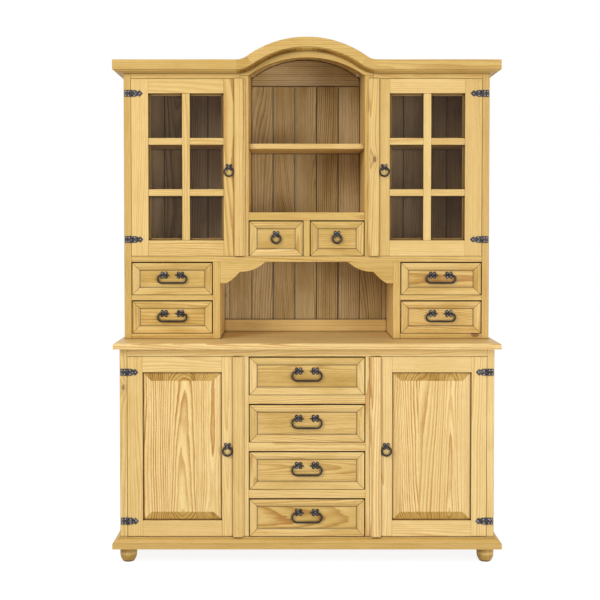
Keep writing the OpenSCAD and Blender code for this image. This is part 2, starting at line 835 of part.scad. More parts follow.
module cornice() {
    line_angle = glue_line / arch_r * 180 / PI;
    color(pine) {
        translate([0, 0, cornice_top_z]) {
            both_sides() mitred_front(cornice_profile, cornice_out, hutch_face_y, sweep_x + glue_line / 2);
            mitred_sides(cornice_profile, cornice_out, hutch_face_y);
        }
        cornice_arc(0, arch_centre_z, 90 - sweep_angle + line_angle, 2 * (sweep_angle - line_angle), arch_r, 1);
        both_sides() cornice_arc(sweep_x, sweep_centre_z, 270 - sweep_angle, sweep_angle, sweep_r, -1);
    }
}

// One mitred length of a drawer front's raised rim, along X from 0, with its back at Y = 0
module rim_piece(length) {
    line = glue_line / 2;
    deep = rim_w + rim_slope_w;
    section = [[0, 0], [-rim_h, 0], [-rim_h, rim_w], [-rim_edge_h, deep], [0, deep]];
    intersection() {
        rotate([90, 0, 90]) linear_extrude(length) polygon(section);
        translate([0, 1, 0]) rotate([90, 0, 0]) linear_extrude(rim_h + 2)
            polygon([[line, 0], [length - line, 0], [length - line - deep, deep], [line + deep, deep]]);
    }
}

// A drawer, given as the list of places and sizes that base_drawer and the like return
module drawer(d) {
    w = d[2] - 2 * drawer_side_gap;
    h = d[3] - drawer_low_gap - drawer_top_gap;
    field_y = rim_h - front_proud;
    front_y = field_y + glue_line;
    box_y = front_y + front_t + glue_line;
    box_l = d[5];
    box_top = d[3] - box_drop;
    in_x = w / 2 - drawer_side_t - glue_line;
    floor_z = run_gap + drawer_bottom_z;
    translate([d[0], d[4], d[1]]) {
        translate([0, 0, drawer_low_gap]) {
            translate([-w / 2, field_y, 0]) rim_piece(w);
            translate([-w / 2, field_y, h]) mirror([0, 0, 1]) rim_piece(w);
            both_sides() translate([w / 2, field_y, 0]) rotate([0, -90, 0]) rim_piece(h);
            board([-w / 2, front_y, 0], [w / 2, front_y + front_t, h]);
        }
        both_sides() board([w / 2 - drawer_side_t, box_y, run_gap], [w / 2, box_l, box_top]);
        board([-in_x, box_y, floor_z], [in_x, box_l, floor_z + drawer_bottom_t]);
        board([-in_x, box_l - drawer_side_t, floor_z + drawer_bottom_t + glue_line], [in_x, box_l, box_top]);
    }
}

// A pointed petal along +X, from the origin to its tip
module petal(length, width) {
    r = (pow(length, 2) + pow(width, 2)) / (4 * width);
    translate([length / 2, 0]) intersection_for(s = [-1, 1])
        translate([0, s * (r - width / 2)]) circle(r, $fn = round_fn);
}

// A petalled plate on the wood at Y = 0, with the eye that holds the wire in front of it
module eye_plate(plate_d) {
    difference() {
        union() {
            rotate([90, 0, 0]) linear_extrude(rosette_t) {
                circle(d = rosette_mid_d, $fn = round_fn);
                for (i = [0 : petals - 1])
                    rotate((i + 0.5) * 360 / petals) petal(plate_d / 2, petal_w);
            }
            translate([-eye_t / 2, -pivot_out, -eye_neck_h / 2]) cube([eye_t, pivot_out, eye_neck_h]);
            translate([-eye_t / 2, -pivot_out, 0]) rotate([0, 90, 0]) cylinder(h = eye_t, r = eye_r, $fn = round_fn);
        }
        translate([-eye_t, -pivot_out, 0]) rotate([0, 90, 0]) cylinder(h = 2 * eye_t, r = eye_bore_r, $fn = round_fn);
    }
}

module bail(drop) {
    loop_r = drop / 2;
    loop_x = bail_w / 2 - wire_d / 2 - loop_r;
    tip_x = bail_centres / 2 - eye_t / 2 - bail_tip_l;
    translate([0, -pivot_out, 0]) {
        both_sides() {
            translate([tip_x, 0, 0]) rotate([0, 90, 0]) cylinder(h = loop_x - tip_x, d = wire_d, $fn = round_fn);
            translate([loop_x, 0, -loop_r]) rotate([90, 0, 0]) rotate([0, 0, -90])
                rotate_extrude(angle = 180, $fn = round_fn) translate([loop_r, 0]) circle(d = wire_d, $fn = round_fn);
        }
        translate([-loop_x, 0, -drop]) rotate([0, 90, 0]) cylinder(h = 2 * loop_x, d = wire_d, $fn = round_fn);
    }
}

module ring_pull() {
    translate([0, -pivot_out, -ring_r]) rotate([90, 0, 0])
        rotate_extrude($fn = 2 * round_fn) translate([ring_r, 0]) circle(d = wire_d, $fn = round_fn);
}

// Puts a handle on the middle of a drawer's front, with its pivot at a height over that middle
module on_drawer(d, pivot_z) {
    translate([d[0], d[4] + rim_h - front_proud + glue_line, d[1] + d[3] / 2 + pivot_z]) children();
}

module bail_rosettes() {
    both_sides() translate([bail_centres / 2, 0, 0]) eye_plate(flower_d);
}

// Boards of a door's frame: hinge stile, inner stile, bottom rail, top rail and closing strip
module door_frame(door, hinge_stile, inner_stile, bottom_rail, top_rail) {
    x_in = door[0];
    x_out = door[1];
    z_low = door[2];
    z_high = door[3];
    y = door[4];
    back = y + face_t;
    rail_from = x_in + inner_stile + glue_line;
    rail_to = x_out - hinge_stile - glue_line;
    strip_x = x_in - door_gap - strip_lap;
    board([x_in, y, z_low], [x_in + inner_stile, back, z_high]);
    board([x_out - hinge_stile, y, z_low], [x_out, back, z_high]);
    board([rail_from, y, z_low], [rail_to, back, z_low + bottom_rail]);
    board([rail_from, y, z_high - top_rail], [rail_to, back, z_high]);
    translate([strip_x, y - glue_line, z_low]) linear_extrude(z_high - z_low) polygon(strip_section);
}

// The closing strip's section seen from above: rounded towards the post
strip_section = concat(
    [[0, 0], [strip_w, 0], [strip_w, strip_chamfer - strip_t], [strip_w - strip_chamfer, -strip_t]],
    arc([strip_round_w, -strip_edge_t], strip_t - strip_edge_t, 270, 195, 5),
    [[0, -strip_edge_t]]
);

module cupboard_door_frame(side) {
    color(pine) on_side(side)
        door_frame(
            cupboard_door, cupboard_hinge_stile_w, cupboard_inner_stile_w,
            cupboard_bottom_rail_h, cupboard_top_rail_h
        );
}

module cupboard_panel(side) {
    gap = 2 * glue_line;
    from = [
        cupboard_door[0] + cupboard_inner_stile_w + gap,
        cupboard_door[4] + panel_set_back,
        cupboard_door[2] + cupboard_bottom_rail_h + gap
    ];
    to = [
        cupboard_door[1] - cupboard_hinge_stile_w - gap,
        from[1] + panel_mid_t,
        cupboard_door[3] - cupboard_top_rail_h - gap
    ];
    b = panel_bevel_w;
    color(pine) on_side(side) hull() {
        board([from[0], to[1] - panel_edge_t, from[2]], to);
        board([from[0] + b, from[1], from[2] + b], [to[0] - b, to[1], to[2] - b]);
    }
}

module glazed_door_frame(side) {
    x_from = glazed_door[0] + glazed_inner_stile_w + glue_line;
    x_to = glazed_door[1] - glazed_hinge_stile_w - glue_line;
    z_from = glazed_door[2] + glazed_bottom_rail_h + glue_line;
    z_to = glazed_door[3] - glazed_top_rail_h - glue_line;
    mid_x = (x_from + x_to) / 2;
    y = glazed_door[4] + bar_set_back;
    bead_y = y + bar_t + glass_t + 2 * glue_line;
    bead_back = glazed_door[4] + face_t - bead_set_back;
    color(pine) on_side(side) {
        door_frame(
            glazed_door, glazed_hinge_stile_w, glazed_inner_stile_w,
            glazed_bottom_rail_h, glazed_top_rail_h
        );
        board([mid_x - bar_w / 2, y, z_from], [mid_x + bar_w / 2, y + bar_t, z_to]);
        for (row = [1, 2]) {
            z = z_from + row * (pane_h + cross_bar_h) - cross_bar_h;
            board([x_from, y, z], [mid_x - bar_w / 2 - glue_line, y + bar_t, z + cross_bar_h]);
            board([mid_x + bar_w / 2 + glue_line, y, z], [x_to, y + bar_t, z + cross_bar_h]);
        }
        board([x_from, bead_y, z_from], [x_from + bead_w, bead_back, z_to]);
        board([x_to - bead_w, bead_y, z_from], [x_to, bead_back, z_to]);
        for (z = [z_from, z_to - bead_w])
            board([x_from + bead_w + glue_line, bead_y, z], [x_to - bead_w - glue_line, bead_back, z + bead_w]);
    }
}

module glass(side) {
    gap = 2 * glue_line;
    y = glazed_door[4] + bar_set_back + bar_t + glue_line;
    color(clear_glass) on_side(side)
        board(
            [glazed_door[0] + glazed_inner_stile_w + gap, y, glazed_door[2] + glazed_bottom_rail_h + gap],
            [glazed_door[1] - glazed_hinge_stile_w - gap, y + glass_t, glazed_door[3] - glazed_top_rail_h - gap]
        );
}

// One third of a hinge's knuckle, around the pin at the origin
module knuckle(from) {
    gap = leaf_gap / 2;
    translate([0, 0, from * hinge_h + gap]) cylinder(h = hinge_h / 3 - 2 * gap, d = knuckle_d, $fn = round_fn);
}

module rivet(x, z, leaf_y) {
    translate([x, leaf_y + leaf_t / 2, z]) rotate([90, 0, 0])
        cylinder(h = leaf_t / 2 + rivet_h, d1 = rivet_d, d2 = rivet_top_d, $fn = round_fn);
}

// The leaf on the stile and the pin, for a hinge whose pin is at the origin and whose middle is at Z = 0
module fixed_leaf() {
    leaf_y = hinge_pin_out - leaf_t;
    start = knuckle_d / 2 + 2 * leaf_gap;
    bore_r = hinge_pin_d / 2 + pin_clearance;
    difference() {
        union() {
            board([start, leaf_y, -hinge_h / 2], [fixed_leaf_w, leaf_y + leaf_t, hinge_h / 2]);
            for (from = [-1 / 2, 1 / 6]) {
                knuckle(from);
                board(
                    [0, leaf_y, from * hinge_h + leaf_gap / 2],
                    [start + 1, leaf_y + leaf_t / 2, (from + 1 / 3) * hinge_h - leaf_gap / 2]
                );
            }
            for (x = [0.36, 0.8], z = [-1, 1]) rivet(x * fixed_leaf_w, z * rivet_row_z, leaf_y);
        }
        cylinder(h = 2 * hinge_h, r = bore_r, center = true, $fn = round_fn);
    }
    cylinder(h = hinge_h, d = hinge_pin_d, center = true, $fn = round_fn);
}

// The leaf on the door, with barbs and a pointed tip, its outline in shares of its length and height
module arrow_leaf(l) {
    leaf_y = hinge_pin_out - leaf_gap - leaf_t;
    start = knuckle_d / 2 + 2 * leaf_gap;
    bore_r = hinge_pin_d / 2 + pin_clearance;
    h = hinge_h;
    half = [
        [start, 0.5 * h], [0.38 * l, 0.5 * h], [0.54 * l, 0.36 * h], [0.60 * l, 0.28 * h],
        [0.65 * l, 0.36 * h], [0.68 * l, 0.5 * h], [0.74 * l, 0.46 * h], [l, 0]
    ];
    outline = concat(half, [for (i = [len(half) - 2 : -1 : 0]) [half[i][0], -half[i][1]]]);
    difference() {
        union() {
            upright(leaf_y, leaf_t) polygon([for (p = outline) [-p[0], p[1]]]);
            knuckle(-1 / 6);
            board([-start - 1, leaf_y, -h / 6 + leaf_gap / 2], [0, leaf_y + leaf_t / 2, h / 6 - leaf_gap / 2]);
            for (z = [-1, 1]) rivet(-0.28 * l, z * rivet_row_z, leaf_y);
            rivet(-0.76 * l, 0, leaf_y);
        }
        cylinder(h = 2 * h, r = bore_r, center = true, $fn = round_fn);
    }
}

// Heights of a door's two hinges
function hinge_heights(door, low_inset, top_inset) = [door[2] + low_inset, door[3] - top_inset];

cupboard_hinges = hinge_heights(cupboard_door, hinge_inset, hinge_inset);
glazed_hinges = hinge_heights(glazed_door, low_hinge_inset, top_hinge_inset);

module at_hinge(face_y, z) {
    translate([hinge_pin_x, face_y - hinge_pin_out, z]) children();
}

module fixed_hinge_leaves() {
    color(iron) both_sides() {
        for (z = cupboard_hinges) at_hinge(base_face_y, z) fixed_leaf();
        for (z = glazed_hinges) at_hinge(hutch_face_y, z) fixed_leaf();
    }
}

// Places a ring pull's pivot on a door
module on_door(door, x, pivot_z) {
    translate([x, door[4], (door[2] + door[3]) / 2 + pivot_z]) children();
}

module cupboard_iron(side) {
    color(iron) on_side(side) {
        on_door(cupboard_door, cupboard_ring_x, cupboard_ring_z) eye_plate(rosette_d);
        for (z = cupboard_hinges) at_hinge(base_face_y, z) arrow_leaf(arrow_leaf_l);
    }
}

module glazed_iron(side) {
    color(iron) on_side(side) {
        on_door(glazed_door, glazed_ring_x, glazed_ring_z) eye_plate(rosette_d);
        for (z = glazed_hinges) at_hinge(hutch_face_y, z) arrow_leaf(glazed_arrow_leaf_l);
    }
}

module base_drawer_front(i) {
    color(pine) drawer(base_drawer(i));
}

module side_drawer_front(side, level) {
    color(pine) drawer(side_drawer(side, level));
}

module small_drawer_front(side) {
    color(pine) drawer(small_drawer(side));
}

module base_rosettes(i) {
    color(iron) on_drawer(base_drawer(i), bail_pivot_z) bail_rosettes();
}

module side_rosettes(side, level) {
    color(iron) on_drawer(side_drawer(side, level), side_bail_pivot_z) bail_rosettes();
}

module small_rosette(side) {
    color(iron) on_drawer(small_drawer(side), small_ring_z) eye_plate(rosette_d);
}

module base_bail(i) {
    color(iron) on_drawer(base_drawer(i), bail_pivot_z) bail(bail_drop);
}

module side_bail(side, level) {
    color(iron) on_drawer(side_drawer(side, level), side_bail_pivot_z) bail(side_bail_drop);
}

module small_ring(side) {
    color(iron) on_drawer(small_drawer(side), small_ring_z) ring_pull();
}

module cupboard_ring(side) {
    color(iron) on_side(side) on_door(cupboard_door, cupboard_ring_x, cupboard_ring_z) ring_pull();
}

module glazed_ring(side) {
    color(iron) on_side(side) on_door(glazed_door, glazed_ring_x, glazed_ring_z) ring_pull();
}

feet();
plinth();
base_sides();
base_boards();
drawer_runners();
base_face_frame();
base_back_boards();
counter_top();
hutch_sides();
hutch_boards();
hutch_face_frame();
hutch_back_boards();
cornice();
fixed_hinge_leaves();
base_drawer_front(1);  // base_drawer_1
base_drawer_front(2);  // base_drawer_2
base_drawer_front(3);  // base_drawer_3
base_drawer_front(4);  // base_drawer_4
side_drawer_front(left, 1);  // left_drawer_upper
side_drawer_front(left, 0);  // left_drawer_lower
side_drawer_front(right, 1);  // right_drawer_upper
side_drawer_front(right, 0);  // right_drawer_lower
small_drawer_front(left);  // small_drawer_left
small_drawer_front(right);  // small_drawer_right
base_rosettes(1);  // base_rosettes_1
base_rosettes(2);  // base_rosettes_2
base_rosettes(3);  // base_rosettes_3
base_rosettes(4);  // base_rosettes_4
side_rosettes(left, 1);  // left_rosettes_upper
side_rosettes(left, 0);  // left_rosettes_lower
side_rosettes(right, 1);  // right_rosettes_upper
side_rosettes(right, 0);  // right_rosettes_lower
small_rosette(left);  // small_rosette_left
small_rosette(right);  // small_rosette_right
base_bail(1);  // base_bail_1
base_bail(2);  // base_bail_2
base_bail(3);  // base_bail_3
base_bail(4);  // base_bail_4
side_bail(left, 1);  // left_bail_upper
side_bail(left, 0);  // left_bail_lower
side_bail(right, 1);  // right_bail_upper
side_bail(right, 0);  // right_bail_lower
small_ring(left);  // small_ring_left
small_ring(right);  // small_ring_right
cupboard_door_frame(left);  // cupboard_door_left
cupboard_door_frame(right);  // cupboard_door_right
cupboard_panel(left);  // cupboard_panel_left
cupboard_panel(right);  // cupboard_panel_right
glazed_door_frame(left);  // glazed_door_left
glazed_door_frame(right);  // glazed_door_right
glass(left);  // glass_left
glass(right);  // glass_right
cupboard_iron(left);  // cupboard_iron_left
cupboard_iron(right);  // cupboard_iron_right
glazed_iron(left);  // glazed_iron_left
glazed_iron(right);  // glazed_iron_right
cupboard_ring(left);  // cupboard_ring_left
cupboard_ring(right);  // cupboard_ring_right
glazed_ring(left);  // glazed_ring_left
glazed_ring(right);  // glazed_ring_right
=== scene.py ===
# %% [markdown]
# # A waxed pine dresser
# The object is a two-part dresser: a cupboard base with four drawers, and on it a glazed hutch
# with an arched cornice. A joiner made it of pine boards, rubbed it with honey wax and fitted
# it with black forged iron.
#
# The construction, with every board, drawer, hinge and ring at its real size, comes in as a
# fixed frame. This lesson gives it its looks: the grain of each board, the hammered iron, the
# glass, and a plain white studio. The frame's box is kept.

import json
import math
import random

import bmesh
import bpy
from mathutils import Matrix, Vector

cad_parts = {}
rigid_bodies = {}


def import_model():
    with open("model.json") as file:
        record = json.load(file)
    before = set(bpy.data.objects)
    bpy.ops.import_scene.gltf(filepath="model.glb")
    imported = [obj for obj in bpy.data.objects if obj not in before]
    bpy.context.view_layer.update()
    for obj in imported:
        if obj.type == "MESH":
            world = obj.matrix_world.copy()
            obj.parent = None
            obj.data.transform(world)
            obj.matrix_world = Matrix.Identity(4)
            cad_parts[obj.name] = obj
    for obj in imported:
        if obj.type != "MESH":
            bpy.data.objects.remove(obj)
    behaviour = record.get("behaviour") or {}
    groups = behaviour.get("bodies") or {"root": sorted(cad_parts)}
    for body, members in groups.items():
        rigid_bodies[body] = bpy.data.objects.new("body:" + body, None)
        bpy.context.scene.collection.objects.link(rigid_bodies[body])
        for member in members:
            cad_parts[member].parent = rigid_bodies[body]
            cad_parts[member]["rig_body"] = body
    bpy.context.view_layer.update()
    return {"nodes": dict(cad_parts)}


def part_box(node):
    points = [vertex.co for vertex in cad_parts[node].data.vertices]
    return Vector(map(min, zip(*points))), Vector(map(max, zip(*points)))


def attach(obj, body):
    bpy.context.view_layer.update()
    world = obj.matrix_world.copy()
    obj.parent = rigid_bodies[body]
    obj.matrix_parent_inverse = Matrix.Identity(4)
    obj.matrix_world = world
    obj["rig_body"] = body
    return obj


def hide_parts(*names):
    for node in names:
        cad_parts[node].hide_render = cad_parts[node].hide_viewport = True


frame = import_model()
nodes = frame["nodes"]

# %% [markdown]
# ## The camera
# The photograph was taken from straight ahead, with the camera a little above the counter and
# tipped slightly down. A real photographer keeps the back of the camera nearly upright and
# shifts the lens, so that the dresser's sides stay upright in the picture. Blender's camera
# has the same shift. Its focal length and place were found from the sizes of the near and the
# far parts, because a cupboard base 467 mm deep looks larger against the hutch from close by.

# %% Camera
CAMERA_PLACE = (-0.065, -4.5, 1.407)
TIPPED_DOWN = 1.54

camera = bpy.data.objects.new("camera", bpy.data.cameras.new("camera"))
bpy.context.scene.collection.objects.link(camera)
bpy.context.scene.camera = camera
camera.location = CAMERA_PLACE
camera.rotation_euler = (math.radians(90 - TIPPED_DOWN), 0, 0)
camera.data.lens = 62.2
camera.data.sensor_width = 36
camera.data.shift_x = 0.0144
camera.data.shift_y = -0.0785
bpy.context.scene.view_settings.view_transform = "Standard"
print("camera", round(camera.data.lens, 1), "mm")

# %% [markdown]
# ## Field: sums on sockets
# A material is a net of nodes, and even "one minus the mask" takes a node and two links. One
# could place each node by hand, but then nobody can read the sum. Here a small class wraps a
# socket, and adding or multiplying two of them adds the Math node and its links. The same
# class serves the Geometry Nodes further down, because both kinds of tree have Math nodes.

# %% Field
class Field:
    """A node's output that can be used in a sum."""

    def __init__(self, sheet, socket):
        self.sheet = sheet
        self.socket = socket

    def math(self, operation, *others, swap=False):
        values = [self, *others]
        if swap:
            values.reverse()
        return self.sheet.add("ShaderNodeMath", {"operation": operation}, dict(enumerate(values)))

    def __add__(self, other):
        return self.math("ADD", other)

    def __sub__(self, other):
        return self.math("SUBTRACT", other)

    def __rsub__(self, other):
        return self.math("SUBTRACT", other, swap=True)

    def __mul__(self, other):
        return self.math("MULTIPLY", other)

    def __truediv__(self, other):
        return self.math("DIVIDE", other)

    def __pow__(self, other):
        return self.math("POWER", other)

    def __neg__(self):
        return self * -1

    __radd__ = __add__
    __rmul__ = __mul__

    def floor(self):
        return self.math("FLOOR")

    def fract(self):
        return self.math("FRACT")

    def exp(self):
        return self.math("EXPONENT")

    def at_least(self, other):
        return self.math("MAXIMUM", other)

    def at_most(self, other):
        return self.math("MINIMUM", other)

    def step(self, start, end):
        """0 below start, 1 above end, and smooth between them. Start may be the larger one."""
        settings = {"interpolation_type": "SMOOTHSTEP"}
        inputs = {"Value": self, "From Min": start, "From Max": end}
        return self.sheet.add("ShaderNodeMapRange", settings, inputs, "Result")

    def out(self, name):
        """Another output of the same node."""
        return Field(self.sheet, self.socket.node.outputs[name])


print("a field has", len([name for name in vars(Field) if not name.startswith("_")]), "named methods")

# %% [markdown]
# ## Sheet: one method for every node
# All other nodes come from one method, add. It takes the node's type, its settings and what
# its sockets hold, in that order, because a setting such as a Math node's operation can change
# which sockets there are. A few short methods stand for the nodes that come back most.

# %% Sheet
# A Mix node has a row of sockets for each kind of value. These are the ones for colours.
MIX_FACTOR = 0
MIX_A = 6
MIX_B = 7
MIX_RESULT = 2


class Sheet:
    """A node tree that is being written."""

    def __init__(self, tree):
        self.tree = tree

    def add(self, kind, settings=None, inputs=None, out=0):
        """A node with its settings made first, then its sockets filled or linked. Gives one output."""
        node = self.tree.nodes.new(kind)
        for name, value in (settings or {}).items():
            setattr(node, name, value)
        for name, value in (inputs or {}).items():
            if isinstance(value, Field):
                self.tree.links.new(value.socket, node.inputs[name])
            else:
                node.inputs[name].default_value = value
        return Field(self, node.outputs[out]) if len(node.outputs) else None

    def vector(self, x, y, z):
        return self.add("ShaderNodeCombineXYZ", {}, {"X": x, "Y": y, "Z": z})

    def parts(self, vector):
        split = self.add("ShaderNodeSeparateXYZ", {}, {"Vector": vector})
        return split, split.out("Y"), split.out("Z")

    def carried(self, name, out="Fac"):
        """What the mesh itself carries under a name."""
        return self.add("ShaderNodeAttribute", {"attribute_name": name}, {}, out)

    def noise(self, vector, scale, detail, rough=0.5):
        """Soft noise between 0 and 1."""
        inputs = {"Vector": vector, "Scale": scale, "Detail": detail, "Roughness": rough}
        return self.add("ShaderNodeTexNoise", {}, inputs)

    def mix(self, factor, a, b, blend="MIX"):
        """Colour a turning into colour b as the factor goes from 0 to 1."""
        settings = {"data_type": "RGBA", "blend_type": blend}
        inputs = {MIX_FACTOR: factor, MIX_A: a, MIX_B: b}
        return self.add("ShaderNodeMix", settings, inputs, MIX_RESULT)


def linear(red, green, blue):
    """A colour given as 0 to 255 in a picture, as the light values that a shader takes."""
    def light(value):
        share = value / 255
        return share / 12.92 if share <= 0.04045 else ((share + 0.055) / 1.055) ** 2.4
    return (light(red), light(green), light(blue), 1)


def new_material(name):
    """An empty material with its Principled shader. Gives the material, its sheet and the shader."""
    material = bpy.data.materials.new(name)
    material.use_nodes = True
    shader = material.node_tree.nodes["Principled BSDF"]
    return material, Sheet(material.node_tree), shader


def feed(sheet, shader, **values):
    """Links or sets sockets of a shader. A name's underscores stand for spaces."""
    for name, value in values.items():
        socket = shader.inputs[name.replace("_", " ")]
        if isinstance(value, Field):
            sheet.tree.links.new(value.socket, socket)
        else:
            socket.default_value = value


print("linear honey:", [round(c, 3) for c in linear(226, 194, 127)])

# %% [markdown]
# ## The studio
# The photograph has a pure white ground. A white floor under strong light would light the
# dresser from below and bleach it. Instead the lamps stay at a plain level, and the floor and
# the world only look white to the camera, to mirrors and through glass. What the floor sends
# back to the wood is the light of a grey carpet, so the undersides stay dark. To the eye it is
# part white glow and part matt white, so the feet still leave their shadow on it.

# %% World
SKY_LEVEL = 0.60


def is_seen(sheet):
    """1 for rays from the camera, off a gloss or through glass, and 0 for rays that light a surface."""
    path = sheet.add("ShaderNodeLightPath")
    return (path + path.out("Is Glossy Ray") + path.out("Is Transmission Ray")).at_most(1)


world = bpy.data.worlds.new("studio")
bpy.context.scene.world = world
world.use_nodes = True
sky = Sheet(world.node_tree)
white = sky.add("ShaderNodeBackground", {}, {"Color": (1, 1, 1, 1), "Strength": 1.0})
soft = sky.add("ShaderNodeBackground", {}, {"Color": (1.0, 0.985, 0.96, 1), "Strength": SKY_LEVEL})
both = sky.add("ShaderNodeMixShader", {}, {0: is_seen(sky), 1: soft, 2: white})
world.node_tree.links.new(both.socket, world.node_tree.nodes["World Output"].inputs["Surface"])
print("sky at", SKY_LEVEL)

# %% Floor
FLOOR_HALF = 12.0
GLOW_LEVEL = 1.22
GLOW_SHARE = 0.72

floor_mesh = bpy.data.meshes.new("floor")
floor_corners = [(x * FLOOR_HALF, y * FLOOR_HALF, 0) for x, y in ((-1, -1), (1, -1), (1, 1), (-1, 1))]
floor_mesh.from_pydata(floor_corners, [], [(0, 1, 2, 3)])
floor = bpy.data.objects.new("floor", floor_mesh)
bpy.context.scene.collection.objects.link(floor)
floor_white, floor_sheet, floor_shader = new_material("floor white")
carpet = floor_sheet.mix(is_seen(floor_sheet), linear(196, 196, 196), linear(248, 248, 248))
feed(floor_sheet, floor_shader, Base_Color=carpet, Roughness=0.9, Specular_IOR_Level=0.0)
glow = floor_sheet.add("ShaderNodeEmission", {}, {"Color": (1, 1, 1, 1), "Strength": GLOW_LEVEL})
matt = Field(floor_sheet, floor_shader.outputs["BSDF"])
shares = {0: is_seen(floor_sheet) * GLOW_SHARE, 1: matt, 2: glow}
floor_surface = floor_sheet.add("ShaderNodeMixShader", {}, shares)
output = floor_white.node_tree.nodes["Material Output"]
floor_white.node_tree.links.new(floor_surface.socket, output.inputs["Surface"])
floor_mesh.materials.append(floor_white)
print("floor", 2 * FLOOR_HALF, "m wide")

# %% Lamps
def lamp(name, place, target, width, watts):
    """A square soft lamp that looks at a point."""
    light = bpy.data.lights.new(name, "AREA")
    light.size = width
    light.energy = watts
    holder = bpy.data.objects.new(name, light)
    bpy.context.scene.collection.objects.link(holder)
    holder.location = place
    holder.rotation_euler = (Vector(target) - Vector(place)).to_track_quat("-Z", "Y").to_euler()


dresser_middle = (0, 0, 1.1)
lamp("key", (-3.4, -3.6, 3.4), dresser_middle, 2.2, 125)
lamp("fill", (3.4, -4.4, 0.9), dresser_middle, 2.0, 112)
print("lamps:", len(bpy.data.lights))

# %% [markdown]
# ## Pine, and how its grain comes about
# Pine shows pale early wood and darker late wood, one pair a year, in rings round the pith. A
# sawn board is a flat cut through those rings: straight lines at its edges, and arches where
# the cut runs close to the pith. One could paint lines on each face, but they would not meet
# at the corners. So the shader holds the log itself: it takes each point's distance from a
# tilted pith line and turns it into rings, and every face, edge and end of a board cuts the
# same rings, as a saw does.
#
# Each board's mesh carries what this needs: grain, the point's place along, across and through
# the board in metres; board, a random number, the width of its glued staves and its tone; and
# end, how much a face looks along the grain, since end grain drinks wax and turns dark. Edge
# and sunk, which it also carries, are about its wax, its painted shade and painted highlights.

# %% Random numbers
# The third seed of a draw, so that one stave has several sets of random numbers.
SECOND_DRAW = 7.0
THIRD_DRAW = 19.0


def random_of(sheet, *values):
    """Three random numbers that belong to up to three given values."""
    seeds = [*values, 0, 0][:3]
    inputs = {"Vector": sheet.vector(*seeds)}
    return sheet.parts(sheet.add("ShaderNodeTexWhiteNoise", {"noise_dimensions": "3D"}, inputs, "Color"))


print("draws after the first:", SECOND_DRAW, THIRD_DRAW)

# %% Knots
# Metres: how often a knot may come, its radius and what chance adds to it, and its dark rim.
KNOT_EVERY = 1.15
KNOT_RADIUS = 0.004
KNOT_LARGER = 0.0065
KNOT_RIM = 0.0022
KNOT_RING = 0.0016
KNOT_SWELL = 0.019


def knot_near(sheet, knots, stave_seeds, stave_width, along, from_middle, phase):
    """The one knot of this length of the log: what it does to the wood around it, as fields."""
    shift = phase * 9
    cell = (along / KNOT_EVERY + shift).floor()
    place, size, chance = random_of(sheet, *stave_seeds, cell)
    is_knot = chance.step(1 - knots, 1.01 - knots)
    # It lies away from the ends of its length, and is longer than it is wide.
    knot_along = (cell + 0.2 + place * 0.6 - shift) * KNOT_EVERY
    knot_across = (size - 0.5) * stave_width.at_most(0.1) * 0.6
    dx = (along - knot_along) * 0.62
    dy = from_middle - knot_across
    distance = (dx * dx + dy * dy) ** 0.5
    return {
        "knot": ((distance - KNOT_RADIUS - size * KNOT_LARGER) / KNOT_RIM).step(1, -1) * is_knot,
        "knot_rings": (distance / KNOT_RING).fract(),
        "halo": (distance * -75).exp() * is_knot,
        "swell": (distance * -42).exp() * is_knot * KNOT_SWELL,
    }


print("a knot at most every", KNOT_EVERY, "m")

# %% Growth rings
# Metres: where the pith lies behind a stave, how it leans and wanders, and how wide rings are.
# A name with deeper or wider in it is what a random number can add.
PITH_SPREAD = 0.11
PITH_BEHIND = 0.010
PITH_DEEPER = 0.07
PITH_LEAN = 0.05
PITH_WANDER = 0.055
RING_WANDER = 0.007
RING_RAGGED = 0.0028
RING_WIDTH = 0.0042
RING_WIDER = 0.0036


